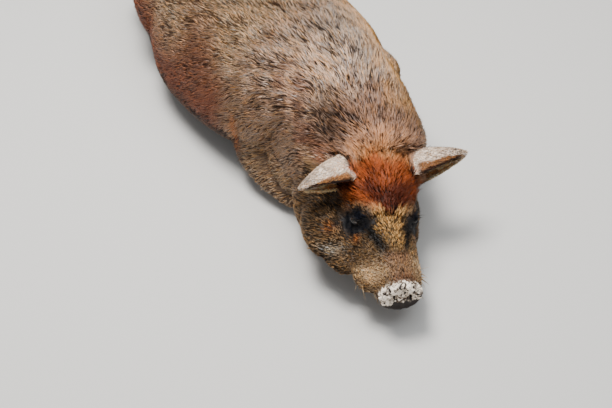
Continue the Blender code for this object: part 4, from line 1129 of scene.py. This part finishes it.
FEET = {
    # foot: the limb that it ends, its side, and up or down for the front of the claws
    "leg_front_left": (FORE_CANNON, 1, -1.0),
    "leg_front_right": (FORE_CANNON, -1, -1.0),
    "leg_hind_left": (HIND_CANNON, 1, 1.0),
    "leg_hind_right": (TUCKED_CANNON, -1, 1.0),
}
for foot, (limb, mirror, top) in FEET.items():
    end, before = (np.array(row[:3]) * (1, mirror, 1) for row in (limb[-1], limb[-2]))
    ahead = unit(end - before)
    dorsal = unit(np.array((0, 0, top)) - ahead * (ahead[2] * top))
    side = np.cross(ahead, dorsal)
    for index, sign in enumerate((-1, 1)):
        splay = unit(ahead + side * 0.10 * sign)
        root = end + side * 0.0118 * sign - dorsal * 0.002
        add_claw(f"{foot}_claw_{index + 1}", root, splay, dorsal, CLAW_SIZE)
        behind = end - ahead * 0.036 + side * 0.020 * sign - dorsal * 0.0085
        outward = unit(ahead * 0.55 + side * 0.30 * sign - dorsal * 0.35)
        lift = unit(dorsal - outward * dorsal.dot(outward))
        add_claw(f"{foot}_dewclaw_{index + 1}", behind, outward, lift, DEW_SIZE)


# The coat: stiff bristles in fine tufts that overlap backwards, long on the back and the nape, stood up
# on the crown, short on the face, the ears and the feet. Each piece is one stretch of the body.
COAT_SEED = 41
CLUMP = 2  # bristles that grow side by side
GUARD_SHARE = 0.42
WARM_TO_COOL = (0.12, 0.02, -0.14)  # how far single bristles lean to orange or to grey
BELLY = 0.36  # where a bristle is thickest, as a share of its length
PATCH = 0.003  # side of a bristle's patch on the map
PIECES = {
    # name: bristles
    "coat_rump": 30000,
    "coat_loin": 38000,
    "coat_ribs": 44000,
    "coat_shoulders": 46000,
    "coat_withers": 42000,
    "coat_neck": 41000,
    "coat_crown": 32000,
    "coat_face": 46000,
    "coat_ears": 20000,
    "coat_feet": 20000,
    "coat_tail": 6000,
}
PIECE_EDGES = (-0.40, -0.20, -0.04, 0.10, 0.24)  # along the body, rump to neck
CROWN, FACE, EAR_LEAF, FOOT, TAIL_END = range(len(PIECE_EDGES) + 2, len(PIECES) + 1)
LOWEST = 0.0004  # bristles are kept this far above the ground

faces_out = spans / (areas[:, None] + 1e-12)
is_ear, ear_sign = near_ears(middles, 0.0040)
along_leaf, leaf_hollow = ear_share(middles, ear_sign)
is_ear &= along_leaf > 0.05
in_hollow = is_ear & (np.sum(faces_out * leaf_hollow, axis=1) > 0.1)
is_tail = (middles[:, 0] < -0.625) & (middles[:, 2] < 0.285) & (np.abs(middles[:, 1]) < 0.02)
is_tail |= middles[:, 0] < -0.640
is_foot = np.zeros(len(middles), bool)
for limb, mirror, _ in FEET.values():
    shaft = eased(limb, 8)
    shaft[:, 1] *= mirror
    low = np.flatnonzero(middles[:, 2] < 0.09)
    gaps = np.linalg.norm(middles[low][:, None] - shaft[None, :, :3], axis=2) - shaft[None, :, 3]
    is_foot[low] |= gaps.min(axis=1) < 0.010
zone = 1 + np.searchsorted(PIECE_EDGES, middles[:, 0])
on_head = seen_middles[:, 0] > -0.035
is_crown = on_head & (seen_middles[:, 0] < 0.13) & (seen_middles[:, 2] > 0.045)
zone = np.where(on_head, np.where(is_crown, CROWN, FACE), zone)
zone = np.where(is_ear, EAR_LEAF, np.where(is_foot, FOOT, np.where(is_tail, TAIL_END, zone)))

# How dense the coat is: none on the flats, the disc and the lids, thin in the ears and under the body
keep = smooth(0.005, 0.010, middles[:, 2]) * (faces_out[:, 2] > -0.97)
keep *= smooth(0.295, 0.284, seen_middles[:, 0])
by_ear, by_sign = near_ears(middles, 0.0055)
by_ear &= (ear_share(middles, by_sign)[0] > 0.04) & ~is_ear
keep *= np.where(in_hollow, 0.30, 1.0) * ~by_ear
for side in ("left", "right"):
    around = eye_seen(middles, side)[0]
    keep *= np.where(np.linalg.norm(around, axis=1) < 0.05, smooth(1.25, 1.9, almond(around)), 1.0)
turned_down = np.degrees(np.arctan2(np.abs(middles[:, 1]), middles[:, 2] - 0.13))
keep *= 1 - 0.75 * smooth(75, 130, turned_down) * (zone < CROWN)
# Fine bristles are set denser from the cheeks to the snout
keep *= np.where(zone == FACE, 1 + 1.6 * smooth(0.05, 0.20, seen_middles[:, 0]), 1.0)

bristle, shader, start = new_finish("bristles", Specular_IOR_Level=0.2)
tone = start.node("ShaderNodeAttribute", {"attribute_name": "markings"})
strand = start.node("ShaderNodeAttribute", {"attribute_name": "strand"}, out=2)
spot = start.node("ShaderNodeTexCoord", out=3)
fine = start.node("ShaderNodeTexNoise", Vector=spot, Scale=700.0, Detail=3.0)
shade = (0.42 + 0.80 * strand.between(0.0, 0.7)) * (0.85 + 0.3 * fine)
grey = start.node("ShaderNodeCombineColor", Red=shade, Green=shade, Blue=shade)
join_to(shader.inputs["Base Color"], start.mix(1.0, tone, grey, blend="MULTIPLY"))
join_to(shader.inputs["Roughness"], 0.62 - 0.14 * strand)
join_to(shader.inputs["Normal"], start.node("ShaderNodeBump", Height=fine, Strength=0.3, Distance=0.0004))


def mesh_object(name, points, triangles):
    """A mesh object at the origin from arrays of points and of corners of triangles."""
    mesh = bpy.data.meshes.new(name)
    mesh.vertices.add(len(points))
    mesh.vertices.foreach_set("co", points.astype(np.float32).ravel())
    mesh.loops.add(triangles.size)
    mesh.loops.foreach_set("vertex_index", triangles.astype(np.int32).ravel())
    mesh.polygons.add(len(triangles))
    mesh.polygons.foreach_set("loop_start", np.arange(0, triangles.size, 3, dtype=np.int32))
    mesh.update(calc_edges=True)
    made = bpy.data.objects.new(name, mesh)
    bpy.context.scene.collection.objects.link(made)
    return made


BRISTLE_SIDES = np.array([(0, 2, 1), (1, 2, 3), (0, 1, 3), (2, 0, 3)])


def bristle_mesh(roots, ways, flows, lengths, widths, lifts, sways):
    """Four-sided splinters that lie along their flow, in rows of root, two low sides and tip."""
    sides = np.cross(flows, ways)
    along = (lengths * np.sqrt(1 - lifts ** 2))[:, None]
    rise = (lengths * lifts)[:, None]
    half = (widths / 2)[:, None]
    belly = roots + flows * along * BELLY + ways * (rise * BELLY - half * 0.9)
    tip = roots + flows * along + ways * rise * 0.92 + sides * (sways * lengths)[:, None]
    points = np.stack([roots - flows * along * 0.06, belly - sides * half, belly + sides * half, tip], axis=1)
    triangles = BRISTLE_SIDES[None] + 4 * np.arange(len(roots))[:, None, None]
    return points, triangles.reshape(-1, 3)


def flow_at(points, ways, is_ear_here, which):
    """The lie of the bristles: back and down the body, up and back over the face, outwards on the ears."""
    x, y, z = points.T
    seen = in_head(points)
    lower = smooth(20, 90, np.degrees(np.arctan2(np.abs(y), z - 0.17)))
    body = np.stack([
        -np.ones(len(points)), 0.25 * np.sign(y) * lower, -(0.30 + 0.75 * smooth(-0.3, 0.15, x)) * lower
    ], axis=1)
    fan = (0.9 - 0.4 * smooth(0.11, 0.07, seen[:, 0])) * seen[:, 1] / 0.08
    droop = -0.15 - 0.35 * smooth(0.05, -0.05, seen[:, 2])
    face = np.stack([-np.ones(len(points)), fan, droop], axis=1) @ HEAD_TURN.T
    blend = smooth(-0.10, 0.02, seen[:, 0])[:, None]
    flow = body + (face - body) * blend
    for side, sign in EAR_SIDES:
        _, _, ahead, _, _ = ear_frame(side)
        pick = is_ear_here & (which == sign)
        flow[pick] = head_way(*ahead)
    return flow


def tangent(flow, ways):
    """Directions laid flat on a surface that faces these ways."""
    flow = flow - ways * np.sum(flow * ways, axis=1)[:, None]
    return flow / (np.linalg.norm(flow, axis=1)[:, None] + 1e-9)


def each(values):
    """Each clump's value for every bristle in it."""
    return np.repeat(values, CLUMP, axis=0)


draw = np.random.default_rng(COAT_SEED)
for number, (name, count) in enumerate(PIECES.items(), 1):
    weights = areas * keep * (zone == number)
    clumps = count // CLUMP
    picked = draw.choice(len(areas), clumps, p=weights / weights.sum())
    a, b = draw.random(clumps), draw.random(clumps)
    flip = a + b > 1
    a[flip], b[flip] = 1 - a[flip], 1 - b[flip]
    share = np.stack([1 - a - b, a, b], axis=1)[:, :, None]
    roots = (places[corners[picked]] * share).sum(axis=1)
    up = (ways[corners[picked]] * share).sum(axis=1)
    up /= np.linalg.norm(up, axis=1)[:, None]
    seen = in_head(roots)
    x, y, z = roots.T
    down = np.degrees(np.arctan2(np.abs(y), z - 0.17))
    ear_here, which = is_ear[picked], ear_sign[picked]
    hollow_here = in_hollow[picked]
    snout = smooth(0.04, 0.24, seen[:, 0])
    ridge = smooth(34, 8, down) * (number < CROWN)
    nape = smooth(0.24, 0.42, x) * smooth(70, 30, down)
    if number < CROWN:
        lengths = 0.0185 + 0.003 * ridge - 0.004 * smooth(80, 125, down) + 0.002 * nape
        widths = np.full(clumps, 0.0013)
        lifts = 0.12 + 0.07 * ridge + 0.06 * nape
    elif number == CROWN:
        lengths = 0.019 + 0.006 * smooth(0.10, 0.03, seen[:, 0])
        widths = np.full(clumps, 0.0016)
        lifts = 0.30 + 0.12 * smooth(0.03, 0.09, seen[:, 2])
    elif number == FACE:
        lengths = 0.0135 - 0.0060 * snout
        widths = 0.0014 - 0.0003 * snout
        lifts = 0.15 + 0.05 * snout
    elif number == EAR_LEAF:
        edge = smooth(0.55, 0.95, along_leaf[picked])
        lengths = np.where(hollow_here, 0.007, 0.0060 + 0.0015 * edge)
        widths = np.full(clumps, 0.0011)
        lifts = np.where(hollow_here, 0.30, 0.12)
    elif number == FOOT:
        lengths = 0.009 + 0.008 * smooth(0.03, 0.08, z)
        widths = np.full(clumps, 0.0017)
        lifts = np.full(clumps, 0.14)
    else:
        tip = smooth(0.20, 0.12, z)
        lengths = 0.010 + 0.036 * tip
        widths = np.full(clumps, 0.0015)
        lifts = 0.16 + 0.10 * tip
    # Pale guard hairs lie over a darker, shorter coat
    guard = draw.random(clumps) < GUARD_SHARE * (1 + 0.5 * ripple(roots, 0.040, 33))
    tone = np.where(guard, draw.uniform(0.60, 1.0, clumps), draw.uniform(0.0, 0.30, clumps) ** 1.3)
    lengths = lengths * draw.uniform(0.80, 1.20, clumps) * np.where(guard, 1.10, 0.85)
    lifts = lifts * draw.uniform(0.7, 1.3, clumps) * np.where(guard, 1.30, 0.72)
    tight = np.where(guard, 0.45, 1.2)
    if number == EAR_LEAF:
        tone = np.where(hollow_here, tone, 0.7 + 0.3 * tone)
    if number in (CROWN, FACE):
        round_eye = smooth(0.055, 0.030, from_eyes(roots))
        lengths = lengths * (1 - 0.45 * round_eye)
        lifts = lifts * (1 - 0.5 * round_eye)
    flow = flow_at(roots, up, ear_here, which)
    if number == TAIL_END:
        steps = eased(TAIL, 6)[:, :3]
        nearest = np.argmin(np.linalg.norm(roots[:, None] - steps[None], axis=2), axis=1)
        nearest = nearest.clip(0, len(steps) - 2)
        flow = steps[nearest + 1] - steps[nearest]
    flow = tangent(flow, up)
    side = np.cross(flow, up)
    stray = 0.20 * ripple(roots, 0.07, 31) + 0.12 * ripple(roots, 0.018, 32) + draw.normal(0, 0.11, clumps)
    flow = tangent(flow + side * stray[:, None], up)
    sways = draw.normal(0, 0.10, clumps)

    total = clumps * CLUMP
    flow, up = each(flow), each(up)
    side = np.cross(flow, up)
    spread = each(widths * tight) * draw.normal(0, 1.0, total)
    aside = each(lengths) * draw.normal(0, 0.16, total)
    starts = each(roots) + side * spread[:, None] + flow * aside[:, None]
    # The tips of a clump lean together
    toward = tangent(flow - side * (0.55 * spread / each(lengths))[:, None], up)
    lengths = each(lengths) * draw.uniform(0.80, 1.12, total)
    widths = each(widths) * draw.uniform(0.60, 1.25, total)
    lifts = (each(lifts) * draw.uniform(0.75, 1.25, total)).clip(0, 0.9)
    tone = np.clip(each(tone) + draw.normal(0, 0.08, total), 0, 1)
    points, triangles = bristle_mesh(starts, up, toward, lengths, widths, lifts, each(sways))
    points = points.reshape(-1, 3)
    points[:, 2] = points[:, 2].clip(LOWEST)
    piece = mesh_object(name, bent(points), triangles)
    dark, light = markings(roots, up[::CLUMP])
    warmth = each(draw.normal(0, 1, clumps))[:, None] * np.array(WARM_TO_COOL) + 1
    colours = (each(dark) + (each(light) - each(dark)) * tone[:, None]) * warmth.clip(0.4, 1.6)
    add_colour(piece.data, np.repeat(colours, 4, axis=0))
    add_value(piece.data, "strand", np.tile((0.1, 0.4, 0.4, 1), total))
    # The map: along the body and round it, on the unrolled skin
    if number == EAR_LEAF:
        root_of = np.where(which[:, None] > 0, EARS["left"][0], EARS["right"][0])
        u = along_leaf[picked].clip(0, 1)
        v = 0.5 + np.linalg.norm(seen - root_of, axis=1) * np.sign(seen[:, 2] - root_of[:, 2]) * 3
        v = (v.clip(0, 1) + (which > 0) + 2 * hollow_here) / 4
    elif number in (CROWN, FACE):
        u = (seen[:, 0] - seen[:, 0].min()) / np.ptp(seen[:, 0])
        v = np.arctan2(seen[:, 1], seen[:, 2] + 0.02) / (2 * math.pi) + 0.5
    elif number == FOOT:
        quarter = 2 * (y > 0) + (x > 0)
        u = np.where(x > 0, (x - 0.09) / 0.22, (x + 0.60) / 0.30).clip(0, 1)
        limb_y = np.where(x > 0, 0.13, np.where(y > 0, 0.20, 0.11))
        v = (np.arctan2(np.abs(y) - limb_y, z - 0.04) / (2 * math.pi) + 0.5 + quarter) / 4
    else:
        u = (x - x.min()) / np.ptp(x)
        v = np.arctan2(y, z - 0.17) / (2 * math.pi) + 0.5
    spots = each(PATCH + (1 - 2 * PATCH) * np.stack([u, v], axis=1))
    patch = np.array(((0, -1), (-1, 0), (1, 0), (0, 1))) * (PATCH / 2)
    unrolled = (spots[:, None] + patch[None]).reshape(-1, 2)[triangles.ravel()]
    layer = piece.data.uv_layers.new(name="OFBake")
    layer.data.foreach_set("uv", unrolled.astype(np.float32).ravel())
    piece.data.materials.append(bristle)
    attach(piece, "root")


# The whiskers: long pale bristles on the lips and the chin, dark lashes over the eyes and a few long dark
# bristles on the brows, made as the coat's and stood further up.
WHISKERS = {
    # name: how many, length, width, lift, colour
    "lips": (90, 0.032, 0.0007, 0.55, linear(190, 160, 120)),
    "lashes": (60, 0.013, 0.0008, 0.50, linear(30, 24, 20)),
    "brows": (36, 0.024, 0.0008, 0.60, linear(30, 24, 20)),
}
draw = np.random.default_rng(COAT_SEED + 1)
around_eyes = [eye_seen(middles, side)[0] for side in ("left", "right")]
spread = np.minimum(*(np.abs(almond(around) - 1.9) for around in around_eyes))
above = np.maximum(*(around[:, 1] * (np.linalg.norm(around, axis=1) < 0.03) for around in around_eyes))
grown = {
    "lips": smooth(0.19, 0.23, seen_middles[:, 0]) * smooth(0.286, 0.276, seen_middles[:, 0])
        * smooth(0.010, -0.020, seen_middles[:, 2]),
    "lashes": (spread < 0.35) * (above > 0.002),
    "brows": (above > 0.014),
}
parts, colours = [], []
for name, (count, length, width, lift, colour) in WHISKERS.items():
    weights = areas * grown[name]
    picked = draw.choice(len(areas), count, p=weights / weights.sum())
    up = faces_out[picked]
    flow = tangent(flow_at(middles[picked], up, np.zeros(count, bool), np.zeros(count)), up)
    flow = tangent(flow * (-1 if name == "lips" else 1) + draw.normal(0, 0.35, (count, 3)), up)
    points, triangles = bristle_mesh(
        middles[picked], up, flow, length * draw.uniform(0.6, 1.2, count), np.full(count, width),
        lift * draw.uniform(0.7, 1.3, count), draw.normal(0, 0.15, count),
    )
    parts.append(points.reshape(-1, 3))
    colours.append(np.tile(colour, (4 * count, 1)))
points = np.vstack(parts)
points[:, 2] = points[:, 2].clip(LOWEST)
triangles = BRISTLE_SIDES[None] + np.arange(0, len(points), 4)[:, None, None]
whiskers = mesh_object("whiskers", bent(points), triangles.reshape(-1, 3))
add_colour(whiskers.data, np.vstack(colours))
add_value(whiskers.data, "strand", np.full(len(points), 0.6))
whiskers.data.materials.append(bristle)
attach(whiskers, "root")


# The skin is bent last, as the pig lies, because all that grows on it is set out on the straight one. It
# stands for every flesh node of the solids.
move_points(skin, bent(places))
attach(skin, "root")
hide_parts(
    "head", "neck", "torso", "tail", "ear_left", "ear_right",
    "leg_front_left", "leg_front_right", "leg_hind_left", "leg_hind_right",
)
